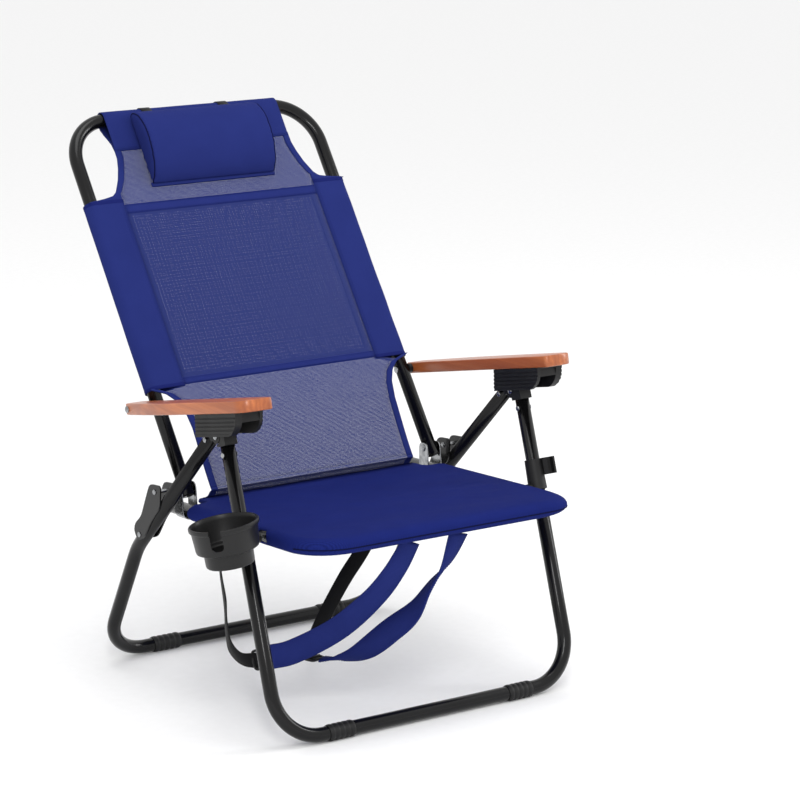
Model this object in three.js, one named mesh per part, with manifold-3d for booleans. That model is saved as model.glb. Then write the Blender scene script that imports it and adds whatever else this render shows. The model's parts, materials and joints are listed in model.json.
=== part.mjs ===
// Folding backpack beach chair. Millimetres, Z up, the chair faces -Y and +X is the sitter's left.
// Every frame below keeps the chair's X axis, so a hole or pin along X is drawn the same way in all of them.
import * as THREE from 'three';
import { mergeVertices } from 'three/addons/utils/BufferGeometryUtils.js';
import Module from 'manifold-3d';

const wasm = await Module();
wasm.setup();

// ---------- driving dimensions ----------
const TUBE_R = 11;
const GAP = 0.3;
const LEG_X = 273;
const RAIL_X = 232;
const TUBE_SIDES = 14;
const BEND_STEPS = 5;
const CURVE_STEPS = 4;
const LATHE_SIDES = 20;

// side view points, [y, z]
const FRONT_BAR = [-85.2, 12.5];
const FRONT_TOP = [50.4, 424.9];
const REAR_TUBE_TOP = [92.5, 446.9];
const REAR_KNEE = [326.5, 217.1];
const REAR_BAR = [437.2, 12.5];
const HUB_PIVOT = [71.5, 449.5];
const RACK_PIN = [62, 468];
const SEAT_PIVOT = [10.3, 303];
const BACK_PIVOT = [247.5, 325.7];
const BACK_TOP = [613.4, 847.5];
const LINK_FOOT = [296, 247];
const ARM_PIVOT_S = 140.3;
const ARM_TILT = THREE.MathUtils.degToRad(12);

const LEG_BEND = 75;
const KNEE_BEND = 120;
const BACK_BEND = 75;
const SEAT_BEND = 60;

const SEAT_FRONT = [-118, 310];
const SEAT_REAR = [302, 286.5];
const BACK_FOOT_S = -14;

const FOOT_R = 12.9;
const FOOT_RIDGE = 0.9;
const FRONT_FOOT_X = [144, 189];
const REAR_FOOT_X = [136, 185];

const PIN_R = 3;
const PIN_HEAD_R = 5.5;
const RIVET_HEAD_T = 2;
const HOLE_R = PIN_R + GAP;
const PIN_SIDES = 12;
const SPACER_R = 8;

// lateral layers, |x|
const LEG_IN = LEG_X - TUBE_R;
const LEG_OUT = LEG_X + TUBE_R;
const EAR_SPLIT = LEG_X;
const PLATE_T = 2.4;
const PLATE_OFF = 0.6;

const ARM_IN = 250;
const ARM_OUT = 304;
const ARM_OUT_REAR = 284;
const ARM_OUT_PIVOT = 286.9;
const ARM_TAPER = 120;
const ARM_LENGTH = 373;
const ARM_T = 18;
const ARM_NOSE = 12;

const SLEEVE_IN = TUBE_R + GAP;
const SLEEVE_OUT = SLEEVE_IN + 1.9;
const SLING_T = 2;

const Point = (x, y, z) => new THREE.Vector3(x, y, z);

// ---------- materials ----------
const makers = {
  blackSteel: () => new THREE.MeshStandardMaterial({ color: 0x111112, metalness: 0.4, roughness: 0.3 }),
  blackPlastic: () => new THREE.MeshStandardMaterial({ color: 0x1b1b1c, roughness: 0.6 }),
  zinc: () => new THREE.MeshStandardMaterial({ color: 0xb9bcc0, metalness: 1, roughness: 0.25 }),
  wood: () => new THREE.MeshStandardMaterial({ color: 0xb5713f, roughness: 0.45 }),
  blueCloth: () => new THREE.MeshStandardMaterial({ color: 0x232f86, roughness: 0.85 }),
  blueMesh: () => new THREE.MeshStandardMaterial({ color: 0x3a4690, roughness: 0.8 }),
  blackCloth: () => new THREE.MeshStandardMaterial({ color: 0x0c0c0d, roughness: 0.95 }),
};

// ---------- solids ----------
const WELD = 1e-4;

function meshOf(geometry) {
  const bare = geometry.clone();
  bare.deleteAttribute('normal');
  bare.deleteAttribute('uv');
  const welded = mergeVertices(bare, WELD);
  return new wasm.Mesh({
    numProp: 3,
    vertProperties: new Float32Array(welded.attributes.position.array),
    triVerts: new Uint32Array(welded.index.array),
  });
}

const toSolid = (geometry) => new wasm.Manifold(meshOf(geometry));

function toGeometry(solid) {
  const mesh = solid.getMesh();
  const geometry = new THREE.BufferGeometry();
  geometry.setAttribute('position', new THREE.BufferAttribute(mesh.vertProperties, 3));
  geometry.setIndex(new THREE.BufferAttribute(mesh.triVerts, 1));
  geometry.computeVertexNormals();
  return geometry;
}

const join = (...parts) => parts.map(toSolid).reduce((a, b) => a.add(b));
const cut = (body, ...tools) => tools.map(toSolid).reduce((a, b) => a.subtract(b), toSolid(body));
const joined = (...parts) => toGeometry(join(...parts));
const cutFrom = (body, ...tools) => toGeometry(cut(body, ...tools));
const common = (a, b) => toGeometry(toSolid(a).intersect(toSolid(b)));

function box(x, y, z) {
  const size = [x, y, z].map(([low, high]) => high - low);
  const middle = [x, y, z].map(([low, high]) => (low + high) / 2);
  return new THREE.BoxGeometry(...size).translate(...middle);
}

// a round bar along X between two x values
function rodX(radius, x0, x1, [y, z], sides = PIN_SIDES) {
  const rod = new THREE.CylinderGeometry(radius, radius, x1 - x0, sides);
  return rod.rotateZ(-Math.PI / 2).translate((x0 + x1) / 2, y, z);
}

// a round bar along Y, centred
const rodY = (top, bottom, length, sides) => new THREE.CylinderGeometry(top, bottom, length, sides);

// a shape drawn in the (y, z) plane, swept along X
const SIDE_TO_X = new THREE.Matrix4().makeBasis(Point(0, 1, 0), Point(0, 0, 1), Point(1, 0, 0));

function sweep(shape, depth) {
  return new THREE.ExtrudeGeometry(shape, { depth, bevelEnabled: false, curveSegments: CURVE_STEPS });
}

const sweepX = (shape, x0, x1) => sweep(shape, x1 - x0).applyMatrix4(SIDE_TO_X).translate(x0, 0, 0);

// a shape drawn in (x, z), swept along Y from y0 to y1
const FACE_TO_Y = new THREE.Matrix4().makeBasis(Point(1, 0, 0), Point(0, 0, 1), Point(0, -1, 0));

const sweepY = (shape, y0, y1) => sweep(shape, y1 - y0).applyMatrix4(FACE_TO_Y).translate(0, y1, 0);
const sweepZ = (shape, z0, z1) => sweep(shape, z1 - z0).translate(0, 0, z0);

// polygon corners [a, b, radius] to a shape with rounded corners
function roundedShape(corners) {
  const shape = new THREE.Shape();
  const count = corners.length;
  corners.forEach(([a, b, radius = 0], i) => {
    const here = new THREE.Vector2(a, b);
    const before = new THREE.Vector2(...corners[(i + count - 1) % count]);
    const after = new THREE.Vector2(...corners[(i + 1) % count]);
    const pull = (to) => to.sub(here).setLength(Math.min(radius, 0.45 * to.length()));
    const start = here.clone().add(pull(before));
    const end = here.clone().add(pull(after));
    if (i === 0) shape.moveTo(start.x, start.y);
    else shape.lineTo(start.x, start.y);
    if (radius > 0) shape.quadraticCurveTo(a, b, end.x, end.y);
  });
  shape.closePath();
  return shape;
}

// a circle of straight sides, as points around (a, b)
function ringPoints(a, b, radius, sides = PIN_SIDES) {
  return Array.from({ length: sides }, (_, i) => {
    const angle = 2 * Math.PI * i / sides;
    return new THREE.Vector2(a + radius * Math.cos(angle), b + radius * Math.sin(angle));
  });
}

// corner points to a path whose corners are replaced by arcs
function bentPath(corners, radii) {
  const path = [corners[0]];
  for (let i = 1; i < corners.length - 1; i += 1) {
    const corner = corners[i];
    const toStart = corners[i - 1].clone().sub(corner).normalize();
    const toEnd = corners[i + 1].clone().sub(corner).normalize();
    const half = toStart.angleTo(toEnd) / 2;
    const radius = radii[i - 1];
    const centre = corner.clone().addScaledVector(
      toStart.clone().add(toEnd).normalize(), radius / Math.sin(half));
    const first = corner.clone().addScaledVector(toStart, radius / Math.tan(half)).sub(centre);
    const turn = Math.PI - 2 * half;
    const axis = toEnd.clone().cross(toStart).normalize();
    const steps = Math.max(2, Math.round(BEND_STEPS * turn / (Math.PI / 2)));
    for (let k = 0; k <= steps; k += 1) {
      path.push(first.clone().applyAxisAngle(axis, turn * k / steps).add(centre));
    }
  }
  path.push(corners[corners.length - 1]);
  return path;
}

// a curve that passes straight through its points, one step per point
class Polyline extends THREE.Curve {
  constructor(points) {
    super();
    this.points = points;
  }

  getPointAt(u) {
    const at = u * (this.points.length - 1);
    const i = Math.min(Math.floor(at), this.points.length - 2);
    return this.points[i].clone().lerp(this.points[i + 1], at - i);
  }

  getTangentAt(u) {
    const last = this.points.length - 1;
    const i = Math.round(u * last);
    const before = this.points[Math.max(0, i - 1)];
    const here = this.points[i];
    const after = this.points[Math.min(last, i + 1)];
    const into = i === 0 ? after.clone().sub(here) : here.clone().sub(before);
    const out = i === last ? here.clone().sub(before) : after.clone().sub(here);
    return into.normalize().add(out.normalize()).normalize();
  }
}

function tube(points, radius, sides = TUBE_SIDES) {
  return new THREE.ExtrudeGeometry(new THREE.Shape(ringPoints(0, 0, radius, sides)), {
    steps: points.length - 1, extrudePath: new Polyline(points), bevelEnabled: false,
  });
}

// a ring or ribbed sleeve about X, from a profile of [radius, x] that closes on itself
function lathedX(profile, [y, z], sides = LATHE_SIDES) {
  const points = profile.map(([radius, x]) => new THREE.Vector2(radius, x));
  points.push(points[0].clone());
  const ring = new THREE.LatheGeometry(points, sides);
  return ring.rotateZ(-Math.PI / 2).translate(0, y, z);
}

// a shaft along X with a low round head at each end; the heads' inner faces are at x0 and x1
function rivet(x0, x1, at, radius = PIN_R, headRadius = PIN_HEAD_R) {
  const crown = headRadius * 0.6;
  const edge = RIVET_HEAD_T * 0.4;
  const points = [
    [0, x0 - RIVET_HEAD_T], [crown, x0 - RIVET_HEAD_T], [headRadius, x0 - edge], [headRadius, x0],
    [radius, x0], [radius, x1],
    [headRadius, x1], [headRadius, x1 + edge], [crown, x1 + RIVET_HEAD_T], [0, x1 + RIVET_HEAD_T],
  ].map(([r, x]) => new THREE.Vector2(r, x));
  return new THREE.LatheGeometry(points, PIN_SIDES).rotateZ(-Math.PI / 2).translate(0, ...at);
}

function washer(inner, outer, x0, x1, at) {
  return lathedX([[inner, x0], [outer, x0], [outer, x1], [inner, x1]], at, PIN_SIDES);
}

// the same piece on the sitter's right: mirrored in X, with the faces turned back outwards
function mirrored(geometry) {
  const copy = geometry.index ? geometry.toNonIndexed() : geometry.clone();
  const position = copy.attributes.position;
  const corner = [Point(), Point(), Point()];
  for (let i = 0; i < position.count; i += 3) {
    corner.forEach((c, k) => c.fromBufferAttribute(position, i + k));
    [0, 2, 1].forEach((from, to) => position.setXYZ(i + to, -corner[from].x, corner[from].y, corner[from].z));
  }
  copy.computeVertexNormals();
  return copy;
}

// ---------- frames ----------
const root = new THREE.Group();
root.name = 'beach_chair';

// a frame through `origin`, its Y along the given side-view direction and its X the chair's X
function frame(name, [y, z], [dy, dz]) {
  const along = Point(0, dy, dz).normalize();
  const across = Point(1, 0, 0);
  const group = new THREE.Group();
  group.name = name;
  group.quaternion.setFromRotationMatrix(
    new THREE.Matrix4().makeBasis(across, along, across.clone().cross(along)));
  group.position.set(0, y, z);
  group.userData.toLocal = ([py, pz]) => {
    const local = Point(0, py, pz).sub(group.position).applyQuaternion(group.quaternion.clone().invert());
    return [local.y, local.z];
  };
  root.add(group);
  return group;
}

const between = ([y0, z0], [y1, z1]) => [y1 - y0, z1 - z0];
const world = frame('world_frame', [0, 0], [1, 0]);
const frontLeg = frame('front_leg_frame', FRONT_BAR, between(FRONT_BAR, FRONT_TOP));
const seatFrame = frame('seat_frame', SEAT_FRONT, between(SEAT_FRONT, SEAT_REAR));
const backFrame = frame('back_frame', BACK_PIVOT, between(BACK_PIVOT, BACK_TOP));
const backDirection = Point(0, ...between(BACK_PIVOT, BACK_TOP)).normalize();
const ARM_PIVOT = [
  BACK_PIVOT[0] + ARM_PIVOT_S * backDirection.y,
  BACK_PIVOT[1] + ARM_PIVOT_S * backDirection.z,
];
const armFrame = frame('arm_frame', ARM_PIVOT, [Math.cos(ARM_TILT), -Math.sin(ARM_TILT)]);

function add(group, name, geometry, material) {
  const mesh = new THREE.Mesh(geometry, makers[material]());
  mesh.name = name;
  group.add(mesh);
}

function addPair(group, name, geometry, material) {
  add(group, `${name}_left`, geometry, material);
  add(group, `${name}_right`, mirrored(geometry), material);
}

const distance = (from, to) => Math.hypot(to[0] - from[0], to[1] - from[1]);

// both halves of a cut that goes through the left and right tubes alike
const bothSides = (geometry) => [geometry, mirrored(geometry)];
const throughTube = (radius, x, at) => bothSides(rodX(radius, x - TUBE_R - 2, x + TUBE_R + 2, at));

// ---------- front legs ----------
const HUB_FOOT = distance(FRONT_BAR, FRONT_TOP) + 13.7;
const SCREW_R = 2.2;

function addFrontLeg() {
  const end = HUB_FOOT - GAP;
  const corners = [Point(-LEG_X, end, 0), Point(-LEG_X, 0, 0), Point(LEG_X, 0, 0), Point(LEG_X, end, 0)];
  const pivot = frontLeg.userData.toLocal(SEAT_PIVOT);
  const screw = frontLeg.userData.toLocal(FRONT_TOP);
  const body = cutFrom(
    tube(bentPath(corners, [LEG_BEND, LEG_BEND]), TUBE_R),
    ...throughTube(HOLE_R, LEG_X, pivot),
    ...throughTube(SCREW_R + GAP, LEG_X, screw));
  add(frontLeg, 'front_leg_tube', body, 'blackSteel');
  addPair(frontLeg, 'hub_screw', rivet(LEG_IN - GAP, LEG_OUT + GAP, screw, SCREW_R, 4.5), 'zinc');
}

function footProfile([x0, x1]) {
  const ridges = 5;
  const pitch = (x1 - x0) / ridges;
  const profile = [[SLEEVE_IN, x0], [FOOT_R - FOOT_RIDGE, x0]];
  for (let i = 0; i < ridges; i += 1) {
    profile.push([FOOT_R, x0 + pitch * (i + 0.3)], [FOOT_R, x0 + pitch * (i + 0.7)]);
    profile.push([FOOT_R - FOOT_RIDGE, x0 + pitch * (i + 1)]);
  }
  profile.push([SLEEVE_IN, x1]);
  return profile;
}

function addFeet() {
  addPair(world, 'front_foot', lathedX(footProfile(FRONT_FOOT_X), FRONT_BAR, TUBE_SIDES), 'blackPlastic');
  addPair(world, 'rear_foot', lathedX(footProfile(REAR_FOOT_X), REAR_BAR, TUBE_SIDES), 'blackPlastic');
}

// the hub sits on the front leg's end, carries the rack pin, and is the inner half of the leg pivot
const HUB_HALF = 12;
const HUB_EAR_R = 11.6;
const HUB_TOP_R = 8;
const RACK_PIN_R = 4;

function addHub() {
  const { toLocal } = frontLeg.userData;
  const pivot = toLocal(HUB_PIVOT);
  const pin = toLocal(RACK_PIN);
  const top = pin[0] + HUB_TOP_R;
  const outline = roundedShape([
    [HUB_FOOT, -HUB_HALF, 1], [top - 9, -HUB_HALF, 2], [top, pin[1] - 6, 5], [top, pin[1] + 6, 5],
    [top - 9, HUB_HALF - 1, 2], [HUB_FOOT, HUB_HALF, 1],
  ]);
  const ear = rodX(HUB_EAR_R, LEG_IN, LEG_OUT, pivot, 24);
  const capRoom = rodX(HUB_EAR_R + 1, EAR_SPLIT - GAP, LEG_OUT + 1, pivot, 24);
  const body = toSolid(joined(sweepX(outline, LEG_IN, LEG_OUT), ear))
    .subtract(toSolid(capRoom))
    .subtract(toSolid(rodX(HOLE_R, LEG_IN - 1, LEG_OUT + 1, pivot)))
    .subtract(toSolid(rodX(RACK_PIN_R + GAP, LEG_IN - 1, LEG_OUT + 1, pin)));
  addPair(frontLeg, 'hub', toGeometry(body), 'blackPlastic');
  addPair(frontLeg, 'rack_pin', rodX(RACK_PIN_R, LEG_IN - 2.4, LEG_OUT + 2.4, pin), 'zinc');
  addPair(world, 'hub_pivot_rivet', rivet(LEG_IN - GAP, LEG_OUT + GAP, HUB_PIVOT), 'zinc');
}

// ---------- rear legs ----------
const RIVET_POINT = [101.1, 438.5];

function addRearLeg() {
  const side = [REAR_TUBE_TOP, REAR_KNEE, REAR_BAR];
  const corners = [
    ...side.map(([y, z]) => Point(-LEG_X, y, z)),
    ...side.toReversed().map(([y, z]) => Point(LEG_X, y, z)),
  ];
  const body = cutFrom(
    tube(bentPath(corners, [KNEE_BEND, LEG_BEND, LEG_BEND, KNEE_BEND]), TUBE_R),
    ...throughTube(HOLE_R, LEG_X, LINK_FOOT),
    ...throughTube(SCREW_R + GAP, LEG_X, RIVET_POINT));
  add(world, 'rear_leg_tube', body, 'blackSteel');
  addPair(world, 'rear_leg_rivet', rivet(LEG_IN - GAP, LEG_OUT + GAP, RIVET_POINT, SCREW_R, 4.5), 'zinc');
}

// the cap plugs the rear leg's end and is the outer half of the leg pivot
const rearCapFrame = frame('rear_cap_frame', REAR_TUBE_TOP, between(REAR_TUBE_TOP, REAR_KNEE));
const CAP_LENGTH = 9;
const CAP_HALF = 10.5;

function addRearCap() {
  const pivot = rearCapFrame.userData.toLocal(HUB_PIVOT);
  const end = -CAP_LENGTH - 6;
  const block = roundedShape([
    [-GAP, -CAP_HALF, 1], [-GAP, CAP_HALF, 1], [-CAP_LENGTH, CAP_HALF, 5], [end, 2, 4], [end, -CAP_HALF, 4],
  ]);
  const ear = rodX(HUB_EAR_R - 0.6, EAR_SPLIT + GAP, LEG_OUT, pivot, 24);
  const web = roundedShape([
    [-GAP, -CAP_HALF, 0], [-4, 6, 0], [pivot[0], pivot[1] + 9, 0], [pivot[0], pivot[1] - 5, 0],
  ]);
  const hubRoom = rodX(HUB_EAR_R + 1, LEG_IN - 1, EAR_SPLIT + GAP, pivot, 24);
  const body = toSolid(sweepX(block, LEG_IN, LEG_OUT)).subtract(toSolid(hubRoom))
    .add(toSolid(ear)).add(toSolid(sweepX(web, EAR_SPLIT + GAP, LEG_OUT)))
    .subtract(toSolid(rodX(HOLE_R, LEG_IN - 1, LEG_OUT + 1, pivot)));
  addPair(rearCapFrame, 'rear_leg_cap', toGeometry(body), 'blackPlastic');
}

// ---------- link plates ----------
const LINK_OUTLINE = [
  [230, 339, 8], [262, 336, 9], [270, 322, 8], [291, 277, 10], [309, 263, 8], [313, 250, 8], [301, 236, 8],
  [284, 243, 8], [258, 279, 12], [233, 303, 10],
];

function addLinks() {
  const plate = roundedShape(LINK_OUTLINE);
  [BACK_PIVOT, LINK_FOOT].forEach(([y, z]) => plate.holes.push(new THREE.Path(ringPoints(y, z, HOLE_R))));
  const inner = LEG_IN - PLATE_OFF;
  const outer = LEG_OUT + PLATE_OFF;
  addPair(world, 'link_plate_inner', sweepX(plate, inner - PLATE_T, inner), 'blackSteel');
  addPair(world, 'link_plate_outer', sweepX(plate, outer, outer + PLATE_T), 'blackSteel');
  const heads = [inner - PLATE_T - GAP, outer + PLATE_T + GAP];
  addPair(world, 'link_rivet_upper', rivet(...heads, BACK_PIVOT, PIN_R, 4.5), 'zinc');
  addPair(world, 'link_rivet_lower', rivet(...heads, LINK_FOOT, PIN_R, 4.5), 'zinc');
}

// ---------- seat ----------
const SEAT_LENGTH = distance(SEAT_FRONT, SEAT_REAR);
const BRACKET_T = 1.9;
const BRACKET_LENGTH = 26;
const BRACKET_IN = TUBE_R + 0.5;
const PLUG_LENGTH = 5;
const SEAT_SLEEVE_END = 338;
const SEAT_CLOTH_END = 376;
const SEAT_TAIL_X = 206;
const seatPath = bentPath([
  Point(-RAIL_X, SEAT_LENGTH, 0), Point(-RAIL_X, 0, 0), Point(RAIL_X, 0, 0), Point(RAIL_X, SEAT_LENGTH, 0),
], [SEAT_BEND, SEAT_BEND]);

function addSeatFrame() {
  const pivot = seatFrame.userData.toLocal(SEAT_PIVOT);
  const body = cutFrom(tube(seatPath, TUBE_R), ...throughTube(HOLE_R, RAIL_X, pivot));
  add(seatFrame, 'seat_frame_tube', body, 'blackSteel');
  const bolt = rivet(RAIL_X - TUBE_R - GAP, LEG_OUT + GAP, SEAT_PIVOT);
  addPair(world, 'seat_pivot_bolt', bolt, 'zinc');
  const spacer = washer(HOLE_R, SPACER_R, RAIL_X + SLEEVE_OUT + 1.2, LEG_IN - GAP, SEAT_PIVOT);
  addPair(world, 'seat_spacer', spacer, 'blackPlastic');
  const plug = rodX(TUBE_R, 0, PLUG_LENGTH, [0, 0], TUBE_SIDES)
    .rotateZ(Math.PI / 2).translate(RAIL_X, SEAT_LENGTH + GAP, 0);
  addPair(seatFrame, 'rail_end_plug', plug, 'blackPlastic');
}

// a U of zinc strip hangs the back tube's hinge bolt above the seat rail
function addBracket() {
  const pivot = seatFrame.userData.toLocal(BACK_PIVOT);
  const top = pivot[1] + 8.5;
  const outside = BRACKET_IN + BRACKET_T;
  const section = new THREE.Shape();
  section.moveTo(-outside, top);
  section.lineTo(-outside, 0);
  section.absarc(0, 0, outside, Math.PI, 2 * Math.PI, false);
  section.lineTo(outside, top);
  section.lineTo(BRACKET_IN, top);
  section.lineTo(BRACKET_IN, 0);
  section.absarc(0, 0, BRACKET_IN, 0, -Math.PI, true);
  section.lineTo(-BRACKET_IN, top);
  section.closePath();
  const strip = sweepY(section, pivot[0] - BRACKET_LENGTH / 2, pivot[0] + BRACKET_LENGTH / 2);
  const half = BRACKET_LENGTH / 2;
  const side = roundedShape([
    [pivot[0] - half, -outside - 1, 0], [pivot[0] + half, -outside - 1, 0], [pivot[0] + half, 12, 4],
    [pivot[0] + 11, top, 9], [pivot[0] - 11, top, 9], [pivot[0] - half, 12, 4],
  ]);
  const trimmed = common(strip, sweepX(side, -outside - 1, outside + 1));
  const body = cutFrom(trimmed, rodX(HOLE_R, -outside - 1, outside + 1, pivot)).translate(RAIL_X, 0, 0);
  addPair(seatFrame, 'hinge_bracket', body, 'zinc');
  const bolt = rivet(RAIL_X - outside - GAP, RAIL_X + outside + GAP, BACK_PIVOT, PIN_R, 6);
  addPair(world, 'hinge_bolt', bolt, 'zinc');
}

const SEAT_CLOTH_TOP = SLEEVE_OUT;
const SEAT_PAD_T = 6;

function addSeatCloth() {
  const pivot = seatFrame.userData.toLocal(SEAT_PIVOT);
  const sleeve = cutFrom(tube(seatPath, SLEEVE_OUT), tube(seatPath, SLEEVE_IN));
  const panel = sweepZ(roundedShape([
    [-RAIL_X, -1, SEAT_BEND], [RAIL_X, -1, SEAT_BEND], [RAIL_X, SEAT_SLEEVE_END, 0],
    [SEAT_TAIL_X, SEAT_SLEEVE_END, 0], [SEAT_TAIL_X, SEAT_CLOTH_END, 6],
    [-SEAT_TAIL_X, SEAT_CLOTH_END, 6], [-SEAT_TAIL_X, SEAT_SLEEVE_END, 0], [-RAIL_X, SEAT_SLEEVE_END, 0],
  ]), SEAT_CLOTH_TOP - SEAT_PAD_T, SEAT_CLOTH_TOP);
  const reach = RAIL_X + 20;
  const sleeved = box([-reach, reach], [-20, SEAT_SLEEVE_END], [-20, 20]);
  const body = toSolid(panel).subtract(toSolid(tube(seatPath, SLEEVE_IN)))
    .add(toSolid(common(sleeve, sleeved)));
  const notches = throughTube(9, RAIL_X, pivot).map(toSolid);
  add(seatFrame, 'seat_sling', toGeometry(notches.reduce((a, b) => a.subtract(b), body)), 'blueCloth');
}

// ---------- back ----------
const BACK_LENGTH = distance(BACK_PIVOT, BACK_TOP);
const backPath = bentPath([
  Point(-RAIL_X, BACK_FOOT_S, 0), Point(-RAIL_X, BACK_LENGTH, 0),
  Point(RAIL_X, BACK_LENGTH, 0), Point(RAIL_X, BACK_FOOT_S, 0),
], [BACK_BEND, BACK_BEND]);

function addBackFrame() {
  const body = cutFrom(
    tube(backPath, TUBE_R),
    ...throughTube(HOLE_R, RAIL_X, [0, 0]),
    ...throughTube(HOLE_R, RAIL_X, [ARM_PIVOT_S, 0]));
  add(backFrame, 'back_frame_tube', body, 'blackSteel');
}

// half outline of the back cloth, [x, s] from the foot upwards
const SIDE_SLEEVE = [164, 488];
const TOP_SLEEVE_X = 164;
const CLOTH_FOOT_S = -9;
const BACK_OUTLINE = [
  [190, CLOTH_FOOT_S, 0], [192, 100, 30], [200, SIDE_SLEEVE[0] - 22, 14], [216, SIDE_SLEEVE[0], 6],
  [RAIL_X, SIDE_SLEEVE[0], 0], [RAIL_X, SIDE_SLEEVE[1], 0],
  [190, SIDE_SLEEVE[1] + 1, 12], [168, SIDE_SLEEVE[1] + 45, 20], [163, BACK_LENGTH, 0],
];

function addBackCloth() {
  const left = BACK_OUTLINE.map(([x, s, r]) => [-x, s, r]);
  const outline = roundedShape([...BACK_OUTLINE, ...left.reverse()]);
  const panel = sweepZ(outline, SLEEVE_OUT - SLING_T, SLEEVE_OUT);
  const sleeve = cutFrom(tube(backPath, SLEEVE_OUT), tube(backPath, SLEEVE_IN));
  const sides = bothSides(box([RAIL_X - 20, RAIL_X + 20], SIDE_SLEEVE, [-20, 20]));
  const top = box([-TOP_SLEEVE_X, TOP_SLEEVE_X], [BACK_LENGTH - 20, BACK_LENGTH + 20], [-20, 20]);
  const wraps = [...sides, top].map((zone) => toSolid(common(sleeve, zone)));
  const body = wraps.reduce((a, b) => a.add(b), toSolid(panel));
  add(backFrame, 'back_sling', toGeometry(body), 'blueMesh');
}

const POCKET_S = [172, 474];
const POCKET_X = 176;
const POCKET_T = 4;

function addPocket() {
  const face = SLEEVE_OUT - SLING_T - GAP;
  const body = box([-POCKET_X, POCKET_X], POCKET_S, [face - POCKET_T, face]);
  add(backFrame, 'rear_pocket', body, 'blackCloth');
}

const PILLOW_X = 124;
const PILLOW_S = [508, 640];
const PILLOW_DEPTH = 46;

function addPillow() {
  const [low, high] = PILLOW_S;
  const foot = SLEEVE_OUT + GAP;
  const section = roundedShape([
    [low, foot, 3], [high, foot, 8], [high + 2, foot + PILLOW_DEPTH * 0.75, 22],
    [low + 62, foot + PILLOW_DEPTH * 1.12, 34], [low + 8, foot + PILLOW_DEPTH * 0.72, 26],
  ]);
  add(backFrame, 'head_pillow', sweepX(section, -PILLOW_X, PILLOW_X), 'blueCloth');
}

// elastic straps run from the pillow's top edge over the bow
const STRAP_X = 72;
const STRAP_HALF = 13;
const STRAP_T = 1.6;

function addPillowStraps() {
  const inner = SLEEVE_OUT + GAP;
  const outer = inner + STRAP_T;
  const section = new THREE.Shape();
  section.moveTo(BACK_LENGTH, outer);
  section.absarc(BACK_LENGTH, 0, outer, Math.PI / 2, -Math.PI / 2, true);
  section.lineTo(BACK_LENGTH - 12, -outer);
  section.lineTo(BACK_LENGTH - 12, -inner);
  section.lineTo(BACK_LENGTH, -inner);
  section.absarc(BACK_LENGTH, 0, inner, -Math.PI / 2, Math.PI / 2, false);
  section.closePath();
  const room = box([-PILLOW_X, PILLOW_X], [PILLOW_S[0], BACK_LENGTH + 5], [inner - 2, 80]);
  const strap = cutFrom(sweepX(section, STRAP_X - STRAP_HALF, STRAP_X + STRAP_HALF), room);
  addPair(backFrame, 'pillow_strap', strap, 'blackCloth');
}

// ---------- armrests ----------
function addArmrest() {
  const plan = roundedShape([
    [ARM_IN, ARM_NOSE, 4], [ARM_IN, -ARM_LENGTH, 8], [ARM_OUT, -ARM_LENGTH, 24],
    [ARM_OUT, -ARM_TAPER, 60], [ARM_OUT_REAR, ARM_NOSE, 8],
  ]);
  const bevel = 2;
  const board = new THREE.ExtrudeGeometry(plan, {
    depth: ARM_T - 2 * bevel, bevelThickness: bevel, bevelSize: bevel, bevelOffset: -bevel,
    bevelSegments: 2, curveSegments: CURVE_STEPS,
  }).translate(0, 0, bevel - ARM_T / 2);
  addPair(armFrame, 'armrest', cutFrom(board, rodX(HOLE_R, ARM_IN - 1, ARM_OUT, [0, 0])), 'wood');
  const bolt = rivet(RAIL_X - TUBE_R - GAP, ARM_OUT_PIVOT + GAP, ARM_PIVOT);
  addPair(world, 'armrest_bolt', bolt, 'zinc');
  const spacer = washer(HOLE_R, SPACER_R, RAIL_X + TUBE_R + GAP, ARM_IN - GAP, ARM_PIVOT);
  addPair(world, 'armrest_spacer', spacer, 'blackPlastic');
}

// rack housing: a channel under the board, open at the rear and half closed in front
const HOUSING_Y = [-345, -226];
const HOUSING_DEPTH = 34;
const CHANNEL = [258.3, 288.5];
const WALL_OUT = [252.3, 300.5];
const HOUSING_TOP = -ARM_T / 2 - GAP;
const TOOTH_PITCH = 21.5;
const TOOTH_COUNT = 4;
const TOOTH_START = -244;
const GROOVE_DEPTH = 1.1;

// one wall's outer face from the top down, with a groove under each rib; `side` is 1 facing +X
function ribbedWall(face, side) {
  const ribs = 5;
  const pitch = (HOUSING_DEPTH - 4) / ribs;
  const edge = [];
  for (let i = 0; i < ribs; i += 1) {
    const z = HOUSING_TOP - 2 - i * pitch;
    const groove = face - side * GROOVE_DEPTH;
    edge.push([face, z], [face, z - pitch * 0.6], [groove, z - pitch * 0.72], [groove, z - pitch * 0.9]);
  }
  return edge;
}

function housingSection() {
  const bottom = HOUSING_TOP - HOUSING_DEPTH;
  const ceiling = HOUSING_TOP - 3;
  const section = [
    [WALL_OUT[0], HOUSING_TOP], ...ribbedWall(WALL_OUT[0], -1), [WALL_OUT[0], bottom],
    [CHANNEL[0], bottom], [CHANNEL[0], ceiling], [CHANNEL[1], ceiling], [CHANNEL[1], bottom],
    [WALL_OUT[1], bottom], ...ribbedWall(WALL_OUT[1], 1).reverse(), [WALL_OUT[1], HOUSING_TOP],
  ];
  return roundedShape(section.map(([x, z]) => [x, z, 0]));
}

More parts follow.
